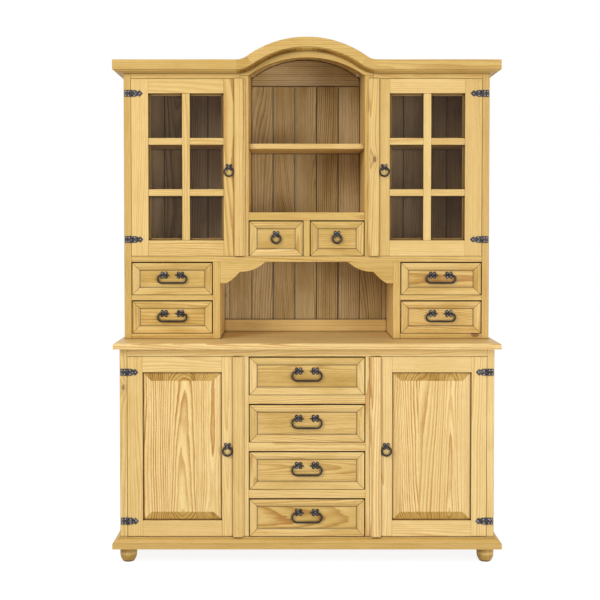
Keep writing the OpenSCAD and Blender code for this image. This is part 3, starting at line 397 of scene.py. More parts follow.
def pine_log(sheet, knots):
    """Where a point lies in its log: rings, knots and fibres, as fields."""
    along, across, through = sheet.parts(sheet.carried("grain", "Vector"))
    seed, stave_width, tone = sheet.parts(sheet.carried("board", "Vector"))
    stave = (across / stave_width).floor()
    pith_side, lean_side, pith_deep = random_of(sheet, seed, stave)
    lean_deep, knot_phase, stave_tone = random_of(sheet, seed, stave, SECOND_DRAW)
    ring_size, contrast, _ = random_of(sheet, seed, stave, THIRD_DRAW)
    from_middle = across - (stave + 0.5) * stave_width

    # A stave's random numbers also shift its noises, so that no two staves are alike. A place
    # grows slowly along the grain and fast across it, which draws the noise out lengthwise.
    wander_place = sheet.vector(
        along * 0.9 + pith_side * 40, from_middle * 5 + lean_side * 40, through * 5 + pith_deep * 40
    )
    wander_side, wander_deep, wander_ring = sheet.parts(sheet.noise(wander_place, 1.0, 2.0).out("Color"))
    side = from_middle - (pith_side - 0.5) * PITH_SPREAD
    side = side + (lean_side - 0.5) * PITH_LEAN * along + (wander_side - 0.5) * PITH_WANDER
    deep = through + PITH_BEHIND + pith_deep * PITH_DEEPER
    deep = deep + (lean_deep - 0.5) * PITH_LEAN * along + (wander_deep - 0.5) * PITH_WANDER
    ragged_place = sheet.vector(along * 14 + lean_side * 30, from_middle * 90, through * 90)
    ragged = sheet.noise(ragged_place, 1.0, 3.0, 0.6)

    # Rings bend round a knot. Their late wood sets in slowly and ends sharply with the year.
    knot = knot_near(sheet, knots, (seed, stave), stave_width, along, from_middle, knot_phase)
    radius = (side * side + deep * deep) ** 0.5
    radius = radius + (wander_ring - 0.5) * RING_WANDER + (ragged - 0.5) * RING_RAGGED - knot["swell"]
    ring = radius / (RING_WIDTH + ring_size * RING_WIDER)
    phase = ring.fract()
    year, _, _ = random_of(sheet, ring.floor(), seed)
    late = phase.step(0.25, 0.90) * phase.step(1.0, 0.93)
    fibre_place = sheet.vector(along * 16 + pith_side * 30, from_middle * 620, through * 620)
    patch_place = sheet.vector(along * 3.2 + pith_deep * 30, from_middle * 11 + lean_side * 20, through * 9)
    return {
        "late": late * (0.35 + year * 0.85) * (0.45 + contrast * 0.75),
        "fibre": sheet.noise(fibre_place, 1.0, 3.0, 0.6),
        "patch": sheet.noise(patch_place, 1.0, 3.0, 0.55),
        "tone": tone,
        "stave_tone": stave_tone,
        **knot,
    }


print("rings", RING_WIDTH * 1000, "to", (RING_WIDTH + RING_WIDER) * 1000, "mm wide")

# %% [markdown]
# ## Wax
# Honey wax deepens a pale wood: where it lies thick, or the wood drank more of it, the colour
# turns from straw to amber, because wax takes out blue first and then green. So a board's tone
# is the share of red light that its wax lets through, and its colour is the straw colour times
# that tone, taken to a higher power for green and to a higher one still for blue.
#
# Corners and gaps also get painted shade. The Ambient Occlusion node knows those places on any
# shape, where painting them would mean a mask for each piece, and darkens them towards the
# corner colour, the deepest gaps to near black. The glazed doors count only their own corners,
# because their glass would blacken the bars. Two numbers on the mesh tell the rest. Edge marks a
# board's narrow eased edges. Where it is positive they turn paler, partly wax rubbed off and
# partly a painted highlight, unless the finish has a groove colour, which paints shade into the
# grooves between back boards. Where it is negative, dark wax stayed on them. Sunk says how deep a
# point lies in a drawer's rim, and paints shade at the foot of its slope, which the occlusion
# misses.

# %% Pine finishes
FIBRE_TONE = 0.30
CLOUD_TONE = 0.40
STAVE_TONE = 0.08
SMUDGE_TONE = 0.12
GREEN_POWER = 1.33
BLUE_POWER = 2.6
SHADE_REACH = 0.011


def wax_tone(sheet, log, rings, blotch):
    """The share of red light that the wax lets through at a point."""
    smudge = log["patch"].step(0.52, 0.68)
    thirst = (sheet.carried("end") * 7).at_most(1) * (0.21 + log["fibre"] * 0.20 + smudge * 0.22)
    tone = log["tone"] + (log["fibre"] - 0.5) * FIBRE_TONE * rings
    tone = tone + (log["patch"] - 0.5) * CLOUD_TONE * blotch
    return tone + (log["stave_tone"] - 0.5) * STAVE_TONE - smudge * SMUDGE_TONE - thirst


def worn_and_shaded(sheet, log, body, edge_colour, edge_share, corner_colour, alone):
    """Worn edges with painted highlight, dark wax, painted shade in grooves, rims, corners and gaps."""
    edge = sheet.carried("edge")
    # Positive edges turn paler, partly worn and partly a painted highlight; a groove colour paints shade.
    body = sheet.mix(edge.at_least(0) * edge_share, body, edge_colour)
    # Dark wax on edges marked negative, and painted shade at the foot of a drawer rim's slope.
    dark_wax_and_shade = (-edge).at_least(0) * 0.92
    dark_wax_and_shade = dark_wax_and_shade + sheet.carried("sunk").step(0.45, 0.82) * (0.20 + log["patch"] * 0.75)
    body = sheet.mix(dark_wax_and_shade.at_most(0.85), body, corner_colour)
    # Painted shade: corners and gaps that the occlusion finds darken towards the corner colour.
    settings = {"samples": 8, "only_local": alone}
    hidden = 1 - sheet.add("ShaderNodeAmbientOcclusion", settings, {"Distance": SHADE_REACH}, "AO")
    body = sheet.mix(hidden.step(0.06, 0.62) * 0.82, body, corner_colour)
    # Painted shade: the deepest gaps turn near black.
    return sheet.mix(hidden.step(0.56, 0.82), body, linear(24, 15, 9))


def pine(
    name, early, late, knot_colour, corner_colour, knots, rings=1.0, blotch=1.0, groove=None, alone=False
):
    """
    Waxed pine. Colours are given as picture values, and knots is the share of places that have one.
    Rings and blotch strengthen the grain and the clouds in it. Groove is a dark colour for the eased
    edges, painted shade in the grooves; without it they are a little paler, partly worn and partly
    a painted highlight. Alone leaves other pieces out of the painted shade in the corners.
    """
    material, sheet, shader = new_material(name)
    log = pine_log(sheet, knots)
    body = sheet.mix(log["late"] * 0.85 * rings, linear(*early), linear(*late))
    tone = wax_tone(sheet, log, rings, blotch)
    wax = sheet.vector(tone, tone ** GREEN_POWER, tone ** BLUE_POWER)
    body = sheet.mix(1.0, body, wax, "MULTIPLY")
    body = sheet.mix(log["halo"] * 0.55, body, linear(*knot_colour))
    dark_knot = sheet.mix(log["knot_rings"] * 0.5, linear(*knot_colour), linear(88, 55, 26))
    body = sheet.mix(log["knot"] * 0.9, body, dark_knot)
    edge_share = 0.70 if groove else 0.30
    body = worn_and_shaded(sheet, log, body, linear(*(groove or early)), edge_share, linear(*corner_colour), alone)
    height = log["late"] * 0.6 + log["fibre"] * 0.7
    bump = sheet.add("ShaderNodeBump", {}, {"Strength": 0.35, "Distance": 0.0006, "Height": height})
    roughness = 0.50 - log["late"] * 0.10 + (log["fibre"] - 0.5) * 0.12
    feed(sheet, shader, Base_Color=body, Roughness=roughness, Normal=bump,
         Coat_Weight=0.06, Coat_Roughness=0.32, Specular_IOR_Level=0.3)
    return material


# Picture values. A corner colour serves dark wax and the painted shade in corners and gaps.
STRAW = (240, 210, 145)
AMBER = (196, 145, 78)
KNOT = (132, 84, 38)
CORNER = (92, 58, 24)
honey_pine = pine("honey pine", STRAW, AMBER, KNOT, CORNER, 0.07)
glazed_pine = pine("glazed door pine", STRAW, AMBER, KNOT, CORNER, 0.07, alone=True)
panel_pine = pine("panel pine", (243, 214, 148), (186, 130, 62), KNOT, CORNER, 0.10, rings=1.8)
drawer_pine = pine("drawer pine", STRAW, (190, 138, 70), (126, 78, 34), (58, 37, 18), 0.10, blotch=2.4)
# The back boards' groove colour paints shade into the chamfers between them.
shaded_pine = pine(
    "shaded pine", (193, 168, 117), (130, 98, 56), (78, 50, 28), (44, 31, 18), 0.45,
    rings=1.45, blotch=3.0, groove=(52, 37, 22),
)
for finish in (honey_pine, glazed_pine, panel_pine, drawer_pine, shaded_pine):
    print(finish.name, "has", len(finish.node_tree.nodes), "nodes")

# %% [markdown]
# ## Boards out of solids
# Each wooden node of the frame holds the boards of one sub-assembly, fitted as a joiner fits
# them, with a hair's gap at each glue line. The real boards have edges rubbed round by sanding
# and wax, and at every joint those edges make the thin dark line that the photograph shows.
# A Bevel modifier on the whole node would stop at its shortest edge and leave all the others
# sharp. So each board is taken out, its flat faces are made whole, its edges are eased by
# themselves, and it is given its own piece of log.

# %% Take a node apart into its boards
def solids(node):
    """The separate solids of a node, each as a mesh in the making with whole flat faces."""
    whole = bmesh.new()
    whole.from_mesh(nodes[node].data)
    bmesh.ops.remove_doubles(whole, verts=whole.verts, dist=1e-6)
    whole.faces.ensure_lookup_table()
    whole.faces.index_update()
    seen = set()
    for start in whole.faces:
        if start.index in seen:
            continue
        seen.add(start.index)
        members, queue = [], [start]
        while queue:
            face = queue.pop()
            members.append(face)
            for neighbour in (f for e in face.edges for f in e.link_faces):
                if neighbour.index not in seen:
                    seen.add(neighbour.index)
                    queue.append(neighbour)
        solid = bmesh.new()
        copies = {}
        for face in members:
            for vertex in face.verts:
                if vertex.index not in copies:
                    copies[vertex.index] = solid.verts.new(vertex.co)
            solid.faces.new([copies[vertex.index] for vertex in face.verts])
        bmesh.ops.dissolve_limit(
            solid, angle_limit=math.radians(0.3), use_dissolve_boundaries=False,
            verts=solid.verts, edges=solid.edges, delimit=set(),
        )
        solid.normal_update()
        yield solid
        solid.free()
    whole.free()


def box_of(solid):
    """A solid's lowest and highest corners."""
    low = Vector([min(v.co[i] for v in solid.verts) for i in range(3)])
    high = Vector([max(v.co[i] for v in solid.verts) for i in range(3)])
    return low, high


EASED_FROM = math.radians(35)


def ease(solid, width):
    """Rounds a solid's outer edges. Gives the new narrow faces."""
    chosen = [
        e for e in solid.edges if len(e.link_faces) == 2 and e.calc_face_angle_signed(0) > EASED_FROM
    ]
    if not chosen:
        return set()
    made = bmesh.ops.bevel(
        solid, geom=chosen, offset=width, offset_type="OFFSET", segments=2, profile=0.5,
        affect="EDGES", clamp_overlap=True, material=-1, loop_slide=True,
    )
    return set(made["faces"])


print("the base's face frame has", len(list(solids("base_face_frame"))), "boards")

# %% Make a piece out of points, faces and marks
def settle(piece):
    """Turns a piece with modifiers into a plain mesh with their result."""
    bpy.context.view_layer.update()
    graph = bpy.context.evaluated_depsgraph_get()
    mesh = bpy.data.meshes.new_from_object(
        piece.evaluated_get(graph), preserve_all_data_layers=True, depsgraph=graph
    )
    piece.modifiers.clear()
    piece.data = mesh
    mesh.name = piece.name


def new_piece(name, points, faces, marks, crease, finish):
    """
    A settled piece. Marks are rows of a name, POINT or FACE, and a number or vector for each.
    Edges that bend by less than the crease, in degrees, are shaded smooth.
    """
    mesh = bpy.data.meshes.new(name)
    mesh.from_pydata(points, [], faces)
    for key, domain, values in marks:
        if isinstance(values[0], tuple):
            numbers = [number for value in values for number in value]
            mesh.attributes.new(key, "FLOAT_VECTOR", domain).data.foreach_set("vector", numbers)
        else:
            mesh.attributes.new(key, "FLOAT", domain).data.foreach_set("value", values)
    mesh.shade_smooth()
    mesh.set_sharp_from_angle(angle=math.radians(crease))
    mesh.materials.append(finish)
    piece = bpy.data.objects.new(name, mesh)
    bpy.context.scene.collection.objects.link(piece)
    piece.modifiers.new("flat faces stay flat", "WEIGHTED_NORMAL").keep_sharp = True
    settle(piece)
    return piece


print("pieces can be made")

# %% How a board was sawn
# Metres: the log's length, a glued stave's width, the width from which a board is glued up,
# and the depth from which either side of it may face the pith.
LOG_LENGTH = 12
STAVE = 0.105
GLUED_FROM = 0.16
THICK_FROM = 0.1


class Cut:
    """One board's place in its log, and the way its grain runs."""

    def __init__(self, low, high, run, chance):
        self.low = low
        self.size = high - low
        order = sorted(range(3), key=lambda i: -self.size[i])
        if run is not None:
            order = [run] + [i for i in order if i != run]
        self.along, self.across, self.through = order
        self.width = self.size[self.across]
        self.start = chance.uniform(0, LOG_LENGTH)
        self.turned = chance.choice((-1, 1))
        self.near = chance.choice((-1, 1)) if self.size[self.through] > THICK_FROM else 1

    def stave(self):
        """The width of each glued stave, or of the whole board, and a hair more."""
        staves = max(1, round(self.width / STAVE)) if self.width > GLUED_FROM else 1
        return self.width / staves * 1.002

    def grain(self, here):
        """A point's place along, across and through the board."""
        return (
            self.start + self.turned * here[self.along],
            here[self.across] - self.low[self.across] + 0.001 * self.width,
            self.near * (here[self.through] - self.low[self.through]),
        )


print("boards over", GLUED_FROM, "m are glued from staves of about", STAVE, "m")

# %% Cut each board from its own log
# Metres: the width of a broad board, the depth of a drawer's rim, and how near to its node's
# outline an outer edge lies.
BROAD_FROM = 0.09
RIM_DEPTH = 0.0085
OUTLINE = 0.003
# Shares: the dark wax on a node's inner joints, and the light that reaches a glazing bead.
INNER_WAX = 0.10
BEAD_SHADE = 0.6
pane_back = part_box("glass_left")[1].y


def cut_boards(
    node, finish, width=0.0008, run=None, crease=50, tone=1.0, broad_tone=None, spread=0.04,
    draw=0, edge_mark=1.0,
):
    """
    A node's boards with eased edges, each carrying its grain. The new piece replaces the node.
    The grain runs along a board's longest side, or along the axis that run names. Tone is that of
    the wax, broad_tone that of broad boards, and spread how far boards differ. Another draw cuts
    other boards from the log. A negative edge_mark leaves dark wax on the edges.
    """
    points, faces, grains, boards, sunk, ends, edges = [], [], [], [], [], [], []
    node_low, node_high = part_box(node)
    for solid in solids(node):
        low, high = box_of(solid)
        centre_cm = [round(v * 50 + 0.13) for v in low + high]
        chance = random.Random(f"{node} {draw} {centre_cm}")
        cut = Cut(low, high, run, chance)
        depth = broad_tone if broad_tone and cut.width > BROAD_FROM else tone
        # Painted shade: glazing beads behind the pane get a darker tone.
        if "glazed_door" in node and low.y > pane_back:
            depth *= BEAD_SHADE
        card = (chance.uniform(0, 60), cut.stave(), depth + chance.uniform(-spread, spread))
        # Drawer rims carry how deep each point lies, for painted shade at the foot of their slope.
        is_rim = "drawer" in node and cut.through == 1 and cut.size.y < RIM_DEPTH
        eased = ease(solid, width)
        solid.verts.index_update()
        first = len(points)
        for vertex in solid.verts:
            points.append(tuple(vertex.co))
            grains.append(cut.grain(vertex.co))
            boards.append(card)
            sunk.append((vertex.co.y - low.y) / cut.size.y if is_rim else 0.0)
        for face in solid.faces:
            faces.append([first + v.index for v in face.verts])
            ends.append(abs(face.normal[cut.along]))
            centre = face.calc_center_median()
            inside = min(min(centre[i] - node_low[i], node_high[i] - centre[i]) for i in (0, 2))
            share = INNER_WAX if edge_mark < 0 and inside > OUTLINE else 1.0
            edges.append(edge_mark * share if face in eased else 0.0)
    marks = (
        ("grain", "POINT", grains), ("board", "POINT", boards), ("sunk", "POINT", sunk),
        ("end", "FACE", ends), ("edge", "FACE", edges),
    )
    piece = new_piece(f"{node}_wood", points, faces, marks, crease, finish)
    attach(piece, nodes[node]["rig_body"])
    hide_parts(node)


print("glazing beads lie behind y =", round(pane_back, 4))

# %% [markdown]
# ## The wooden pieces
# One call a node gives the dresser its wood. The back boards stand in the shade and have been
# waxed less, so they are browner, and the wide chamfers on their long edges, painted dark as shade
# in the grooves, make the dark lines between them. The feet are turned, with the grain upright as
# in any turned foot.

# %% Cut all the wood
NOT_WOOD = ("rosette", "bail", "ring", "iron", "leaves", "glass")
UPRIGHT = 2
TONES = {
    "cornice": 0.74, "plinth": 0.79, "counter_top": 0.97, "base_face_frame": 0.95, "hutch_face_frame": 0.77,
}
wooden = 0
for node in sorted(nodes):
    if any(word in node for word in NOT_WOOD):
        continue
    if "back_boards" in node:
        cut_boards(node, shaded_pine, width=0.0028, tone=1.03, spread=0.12)
    elif node == "feet":
        cut_boards(node, honey_pine, run=UPRIGHT, tone=0.95)
    elif "panel" in node:
        cut_boards(node, panel_pine, crease=5, tone=0.985, draw=9 if "left" in node else 4)
    elif "drawer" in node:
        tone, broad_tone = (0.89, 0.80) if "base" in node else (0.84, 0.74)
        cut_boards(
            node, drawer_pine, width=0.0021, crease=14, tone=tone, broad_tone=broad_tone,
            edge_mark=-1.0,
        )
    elif "glazed_door" in node:
        cut_boards(node, glazed_pine, crease=14, tone=0.88)
    elif "door" in node:
        cut_boards(node, honey_pine, crease=14, tone=0.97)
    else:
        mark = -1.0 if "face_frame" in node else 1.0
        cut_boards(node, honey_pine, tone=TONES.get(node, 0.88), edge_mark=mark)
    wooden += 1
print(wooden, "wooden nodes cut")

# %% [markdown]
# ## Black iron
# The ironwork was forged, blackened and waxed: a dark brown-black with hammer marks a few
# millimetres wide, and a dull shine. The hammer marks are a soft cell pattern in the bump, the
# scale of the black is a fine noise. Where it stands out, the iron is painted a paler grey steel:
# partly where fingers and cloths have rubbed the black off, partly a painted highlight. A number
# that each point carries says how far it stands out, and a noise breaks those places up.

# %% Iron
def forged_iron():
    material, sheet, shader = new_material("forged iron")
    place = sheet.add("ShaderNodeTexCoord", {}, {}, "Object")
    cells = {"Vector": place, "Scale": 210.0, "Smoothness": 0.6}
    dents = sheet.add("ShaderNodeTexVoronoi", {"feature": "SMOOTH_F1"}, cells)
    scale = sheet.noise(place, 900.0, 3.0, 0.6)
    cloud = sheet.noise(place, 130.0, 2.0)
    shade = (scale * 0.5 + cloud * 0.5).step(0.35, 0.65)
    # Paler steel where a point stands out: partly worn, partly a painted highlight.
    bare_and_glint = (sheet.carried("rub") + (cloud - 0.5) * 1.1 + (scale - 0.5) * 0.5).step(0.30, 0.95)
    colour = sheet.mix(shade, linear(38, 34, 33), linear(62, 55, 52))
    colour = sheet.mix(bare_and_glint * 0.85, colour, linear(176, 176, 186))
    hammered = {"Strength": 0.6, "Distance": 0.0006, "Height": dents + scale * 0.25}
    bump = sheet.add("ShaderNodeBump", {}, hammered)
    feed(sheet, shader, Base_Color=colour, Metallic=0.6, Roughness=0.36 + scale * 0.22, Normal=bump)
    return material


black_iron = forged_iron()
print("material:", black_iron.name)

# %% [markdown]
# ## A recipe of nodes
# A rosette is one petal, repeated. A rivet is one cap, put at many places. A handle is a round
# wire along a path. Geometry Nodes say just that, and their sizes stay named inputs. A recipe
# here is such a tree: it is written with the same Sheet as the materials, used on a small
# starting mesh, and then settled into a plain mesh, because an export drops instances.

# %% Recipe
class Recipe(Sheet):
    """A Geometry Nodes tree with named inputs."""

    def __init__(self, name, **sizes):
        super().__init__(bpy.data.node_groups.new(name, "GeometryNodeTree"))
        sockets = self.tree.interface
        sockets.new_socket("Geometry", in_out="INPUT", socket_type="NodeSocketGeometry")
        sockets.new_socket("Geometry", in_out="OUTPUT", socket_type="NodeSocketGeometry")
        self.keys = {}
        for label, kind in sizes.items():
            socket = sockets.new_socket(label, in_out="INPUT", socket_type="NodeSocket" + kind)
            self.keys[label] = socket.identifier
        self.start = self.tree.nodes.new("NodeGroupInput")

    def given(self, label):
        return Field(self, self.start.outputs[label])

    def join(self, *shapes):
        node = self.tree.nodes.new("GeometryNodeJoinGeometry")
        for shape in shapes:
            self.tree.links.new(shape.socket, node.inputs["Geometry"])
        return Field(self, node.outputs[0])

    def repeat(self, points, shape, **more):
        """The shape once at each point. More may name its Rotation or Scale."""
        inputs = {"Points": points, "Instance": shape, **more}
        return self.add("GeometryNodeInstanceOnPoints", {}, inputs)

    def mark(self, shape, name, value):
        """The shape, with one number stored at all its points."""
        settings = {"data_type": "FLOAT", "domain": "POINT"}
        inputs = {"Geometry": shape, "Name": name, "Value": value}
        return self.add("GeometryNodeStoreNamedAttribute", settings, inputs)

    def end(self, shape, finish):
        real = self.add("GeometryNodeRealizeInstances", {}, {"Geometry": shape})
        smooth = self.add("GeometryNodeSetShadeSmooth", {}, {"Geometry": real})
        painted = self.add("GeometryNodeSetMaterial", {}, {"Geometry": smooth, "Material": finish})
        self.add("NodeGroupOutput", {}, {"Geometry": painted})

    def use(self, name, mesh, **values):
        """Runs the recipe on a mesh and gives the settled piece."""
        piece = bpy.data.objects.new(name, mesh)
        bpy.context.scene.collection.objects.link(piece)
        modifier = piece.modifiers.new(self.tree.name, "NODES")
        modifier.node_group = self.tree
        for label, value in values.items():
            modifier[self.keys[label]] = value
        settle(piece)
        return piece


print("recipes can be written")

# %% Patterns that a recipe repeats
def pattern(name, tubes=(), rings=()):
    """
    A mesh object that a recipe repeats, made of rows of points: x, y, z and how much paler steel
    shows there, partly worn and partly a painted highlight.
    Tubes have two filled ends, and rings close on themselves. It is removed after its use.
    """
    shape = bmesh.new()
    rub = shape.verts.layers.float.new("rub")
    for rows, closed in [(t, False) for t in tubes] + [(r, True) for r in rings]:
        grid = [[shape.verts.new(point[:3]) for point in row] for row in rows]
        for corners, row in zip(grid, rows):
            for corner, point in zip(corners, row):
                corner[rub] = point[3]
        for row, after in zip(grid, grid[1:] + (grid[:1] if closed else [])):
            for i in range(len(row)):
                shape.faces.new((row[i - 1], row[i], after[i], after[i - 1]))
        if not closed:
            shape.faces.new(grid[0])
            shape.faces.new(grid[-1])
    bmesh.ops.recalc_face_normals(shape, faces=shape.faces)
    mesh = bpy.data.meshes.new(name)
    shape.to_mesh(mesh)
    shape.free()
    thing = bpy.data.objects.new(name, mesh)
    bpy.context.scene.collection.objects.link(thing)
    return thing


def dots(name, places):
    """A mesh of single points."""
    mesh = bpy.data.meshes.new(name)
    mesh.from_pydata([tuple(p) for p in places], [], [])
    return mesh


print("patterns can be made")

# %% [markdown]
# ## Rosettes
# A handle hangs in eyes, and each eye rises from a plate of four broad petals, set crosswise
# and beaten up along their middles. The petal is a row of cross-sections, crowned halfway and
# round at its end, because that crown is what catches the light in the photograph. The eye is
# a flattened ring on a short boss.

# %% Petal and eye
PIVOT_OUT = 0.009
WIRE_R = 0.0035
EYE_BORE_R = WIRE_R + 0.0005
EYE_WALL = 0.00125
EYE_HALF_DEPTH = 0.00225
PETAL_CROWN = 0.0026
PETAL_SECTIONS = 12
PETAL_WIDEST = 0.65


def petal_rows(length, width):
    """Cross-sections of a petal along +X. The wood is at y = 0 and outwards is -y."""
    rows = []
    for i in range(PETAL_SECTIONS + 1):
        t = i / PETAL_SECTIONS
        swell = 0.50 + 0.50 * math.sin(math.pi / 2 * min(1, t / PETAL_WIDEST))
        rounding = math.sqrt(max(0.06, 1 - (max(0, t - PETAL_WIDEST) / 0.36) ** 2))
        half = width / 2 * swell * rounding
        crown = PETAL_CROWN * math.sin(math.pi * (0.10 + 0.82 * t))
        lift = 0.0008 + 0.0010 * t ** 3
        x = length * (0.12 + 0.88 * t)
        row = []
        for s in (-1, -0.7, -0.35, 0, 0.35, 0.7, 1):
            # Paler steel along the petal's crown: partly rubbed, partly a painted highlight.
            rub = 0.18 + 0.48 * (1 - abs(s)) * math.sin(math.pi * t)
            row.append((x, -lift - crown * (1 - s * s), half * s, rub))
        rows.append(row + [(x, 0.0, half, 0.0), (x, 0.0, -half, 0.0)])
    return rows


def round_the_circle(count):
    """Angles of evenly spaced points on a circle."""
    return [2 * math.pi * i / count for i in range(count)]


def eye_ring():
    """The eye around the wire, as a ring of oval sections about the X axis."""
    rows = []
    for turn in round_the_circle(20):
        row = []
        for u in round_the_circle(10):
            r = EYE_BORE_R + EYE_WALL + EYE_WALL * math.cos(u)
            x = EYE_HALF_DEPTH * math.sin(u)
            row.append((x, -PIVOT_OUT + r * math.cos(turn), r * math.sin(turn), 0.45))
        rows.append(row)
    return rows


def round_rows(stations):
    """Sections of a turned shape that stands on the wood: pairs of radius and height."""
    turns = round_the_circle(16)
    return [[(r * math.cos(a), -h, r * math.sin(a), 0.3) for a in turns] for r, h in stations]


boss = round_rows([(0.0062, 0.0), (0.0060, 0.0012), (0.0049, 0.0024), (0.0032, 0.0030), (0.0024, 0.0040)])
eye = pattern("eye pattern", [boss], [eye_ring()])
bail_petal = pattern("bail petal", [petal_rows(0.0180, 0.0134)])
ring_petal = pattern("ring petal", [petal_rows(0.0170, 0.0128)])
print("petal of", len(bail_petal.data.polygons), "faces, eye of", len(eye.data.polygons))

# %% Rosette recipe
rosette = Recipe("rosette", Petal="Object", Eye="Object", Petals="Int")
turn = (rosette.add("GeometryNodeInputIndex") + 0.5) * (2 * math.pi) / rosette.given("Petals")
spots = rosette.add("GeometryNodePoints", {}, {"Count": rosette.given("Petals")})
one_petal = rosette.add("GeometryNodeObjectInfo", {}, {"Object": rosette.given("Petal")}, "Geometry")
one_eye = rosette.add("GeometryNodeObjectInfo", {}, {"Object": rosette.given("Eye")}, "Geometry")
petals = rosette.repeat(spots, one_petal, Rotation=rosette.vector(0.0, turn, 0.0))
whole_flower = rosette.join(petals, one_eye)
rosette.end(rosette.repeat(rosette.given("Geometry"), whole_flower), black_iron)
print("rosette recipe with", len(rosette.tree.nodes), "nodes")

# %% [markdown]
# ## Wire for rings and bails
# The smith drew each handle out of round bar: full in the middle, where the fingers pull, and
# drawn to a blunt point at a bail's two ends, which poke inwards through their eyes. A curve
# with a bevel has one thickness unless each point is set by hand. Here the path is a line of
# points that carry their thickness, and the recipe sweeps a circle along it.

# %% Wire recipe
wire = Recipe("wire", Sides="Int")
path = wire.add("GeometryNodeMeshToCurve", {}, {"Mesh": wire.given("Geometry")})
named = {"Name": "thickness"}
thickness = wire.add("GeometryNodeInputNamedAttribute", {"data_type": "FLOAT"}, named, "Attribute")
round_one = {"Resolution": wire.given("Sides"), "Radius": 1.0}
circle = wire.add("GeometryNodeCurvePrimitiveCircle", {}, round_one)
sweep = {"Curve": path, "Profile Curve": circle, "Scale": thickness, "Fill Caps": True}
wire.end(wire.add("GeometryNodeCurveToMesh", {}, sweep), black_iron)
print("wire recipe with", len(wire.tree.nodes), "nodes")

# %% Paths of bails and rings
EYE_FROM_MIDDLE = 0.035
BAIL_HALF_WIDTH = 0.065
BAIL_TIP = 0.02225
RING_R = 0.019
# A bail's ends: distance from the tip, and thickness.
DRAWN_OUT = ((0.0, 0.0017), (0.0010, 0.0027), (0.005, 0.0032), (0.014, 0.0033), (0.020, 0.0034))


def wire_path(name, stations, closed=False):
    """A line of points, each with its thickness."""
    mesh = bpy.data.meshes.new(name)
    count = len(stations)
    links = [(i, i + 1) for i in range(count - 1)] + ([(count - 1, 0)] if closed else [])
    mesh.from_pydata([tuple(point) for point, _ in stations], links, [])
    radii = [r for _, r in stations]
    mesh.attributes.new("thickness", "FLOAT", "POINT").data.foreach_set("value", radii)
    return mesh


def bail_stations(pivot, drop):
    """The path of a bail that hangs from its pivot, from tip to tip."""
    loop_r = drop / 2
    loop_x = BAIL_HALF_WIDTH - WIRE_R - loop_r
    half = [(EYE_FROM_MIDDLE - BAIL_TIP + reach, 0.0, r) for reach, r in DRAWN_OUT]
    half.append((loop_x, 0.0, WIRE_R))
    for i in range(1, 17):
        a = math.pi / 2 - math.pi * i / 16
        half.append((loop_x + loop_r * math.cos(a), -loop_r + loop_r * math.sin(a), WIRE_R))
    half += [(loop_x * share, -drop, WIRE_R + 0.0004 * (1 - share)) for share in (0.75, 0.5, 0.25)]
    whole = half + [(0.0, -drop, WIRE_R + 0.0004)] + [(-x, z, r) for x, z, r in reversed(half)]
    return [(pivot + Vector((x, 0, z)), r) for x, z, r in whole]


def ring_stations(pivot):
    """A ring that hangs from its pivot, a little fuller at the bottom."""
    stations = []
    for a in round_the_circle(40):
        place = pivot + Vector((RING_R * math.sin(a), 0, RING_R * math.cos(a) - RING_R))
        stations.append((place, WIRE_R - 0.0002 * math.cos(a)))
    return stations


print("a bail has", len(bail_stations(Vector(), 0.03)), "stations")

# %% [markdown]
# ## Hang the handles
# Where each handle's pivot is, the frame already says: a bail's wire passes through its eyes
# at the top of its box, and a ring's box is as high as the ring. So nothing is placed by eye.

# %% Handles
WIRE_SIDES = 12


def finish_iron(piece, node):
    """The piece rides on its node's body and takes the node's place."""
    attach(piece, nodes[node]["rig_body"])
    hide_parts(node)


def pivot_of(pull):
    """The point in the middle of a hanging handle's top wire."""
    low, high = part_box(pull)
    return Vector(((low.x + high.x) / 2, (low.y + high.y) / 2, high.z - WIRE_R))


def plates_at(node, pull, petal, *offsets):
    """Rosettes on the wood behind a handle's pivot, at the given distances to its sides."""
    foot = pivot_of(pull) + Vector((0, PIVOT_OUT, 0))
    mesh = dots(node, [foot + Vector((x, 0, 0)) for x in offsets])
    return rosette.use(f"{node}_flowers", mesh, Petal=petal, Eye=eye, Petals=4)


handles = 0
for pull in sorted(nodes):
    if "bail" in pull:
        low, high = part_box(pull)
        line = wire_path(pull, bail_stations(pivot_of(pull), high.z - low.z - 2 * WIRE_R))
        plate = pull.replace("bail", "rosettes")
        petal, offsets = bail_petal, (-EYE_FROM_MIDDLE, EYE_FROM_MIDDLE)
    elif "ring" in pull:
        line = wire_path(pull, ring_stations(pivot_of(pull)), closed=True)
        plate = pull.replace("small_ring", "small_rosette")
        petal, offsets = ring_petal, (0.0,)
    else:
        continue
    finish_iron(wire.use(f"{pull}_wire", line, Sides=WIRE_SIDES), pull)
    # A door's ring has its rosette in the door's ironwork, which comes with the hinges.
    if plate != pull:
        finish_iron(plates_at(plate, pull, petal, *offsets), plate)
    handles += 1
print(handles, "handles hung")

# %% [markdown]
# ## Hinges
# Each hinge has a square leaf with four rivets on the stile and a barbed arrow on the door,
# with three knuckles round one pin. Their outlines come from the frame, and so do the places
# of the rivets, which follow each arrow's length and height. Here their edges are broken with a
# file, as the boards were eased, and every rivet gets a hammered round head. Filed edges and
# heads are painted a paler steel: partly rubbed bright, partly a painted highlight.

# %% Leaves and rivets
PIN_X = 0.74625
RIVET_ROW = 0.008
FIXED_LEAF = 0.027
FIXED_RIVETS = [(share * FIXED_LEAF, up) for share in (0.36, 0.8) for up in (-RIVET_ROW, RIVET_ROW)]
FIXED_HEAD_OUT = 0.0020
ARROW_HEAD_OUT = 0.0023


def by_the_pin(solid):
    """True for the hinge's own solids, and false for the plate above a ring."""
    return all(abs(v.co.x) > 0.6 for v in solid.verts)


def always(solid):
    return True


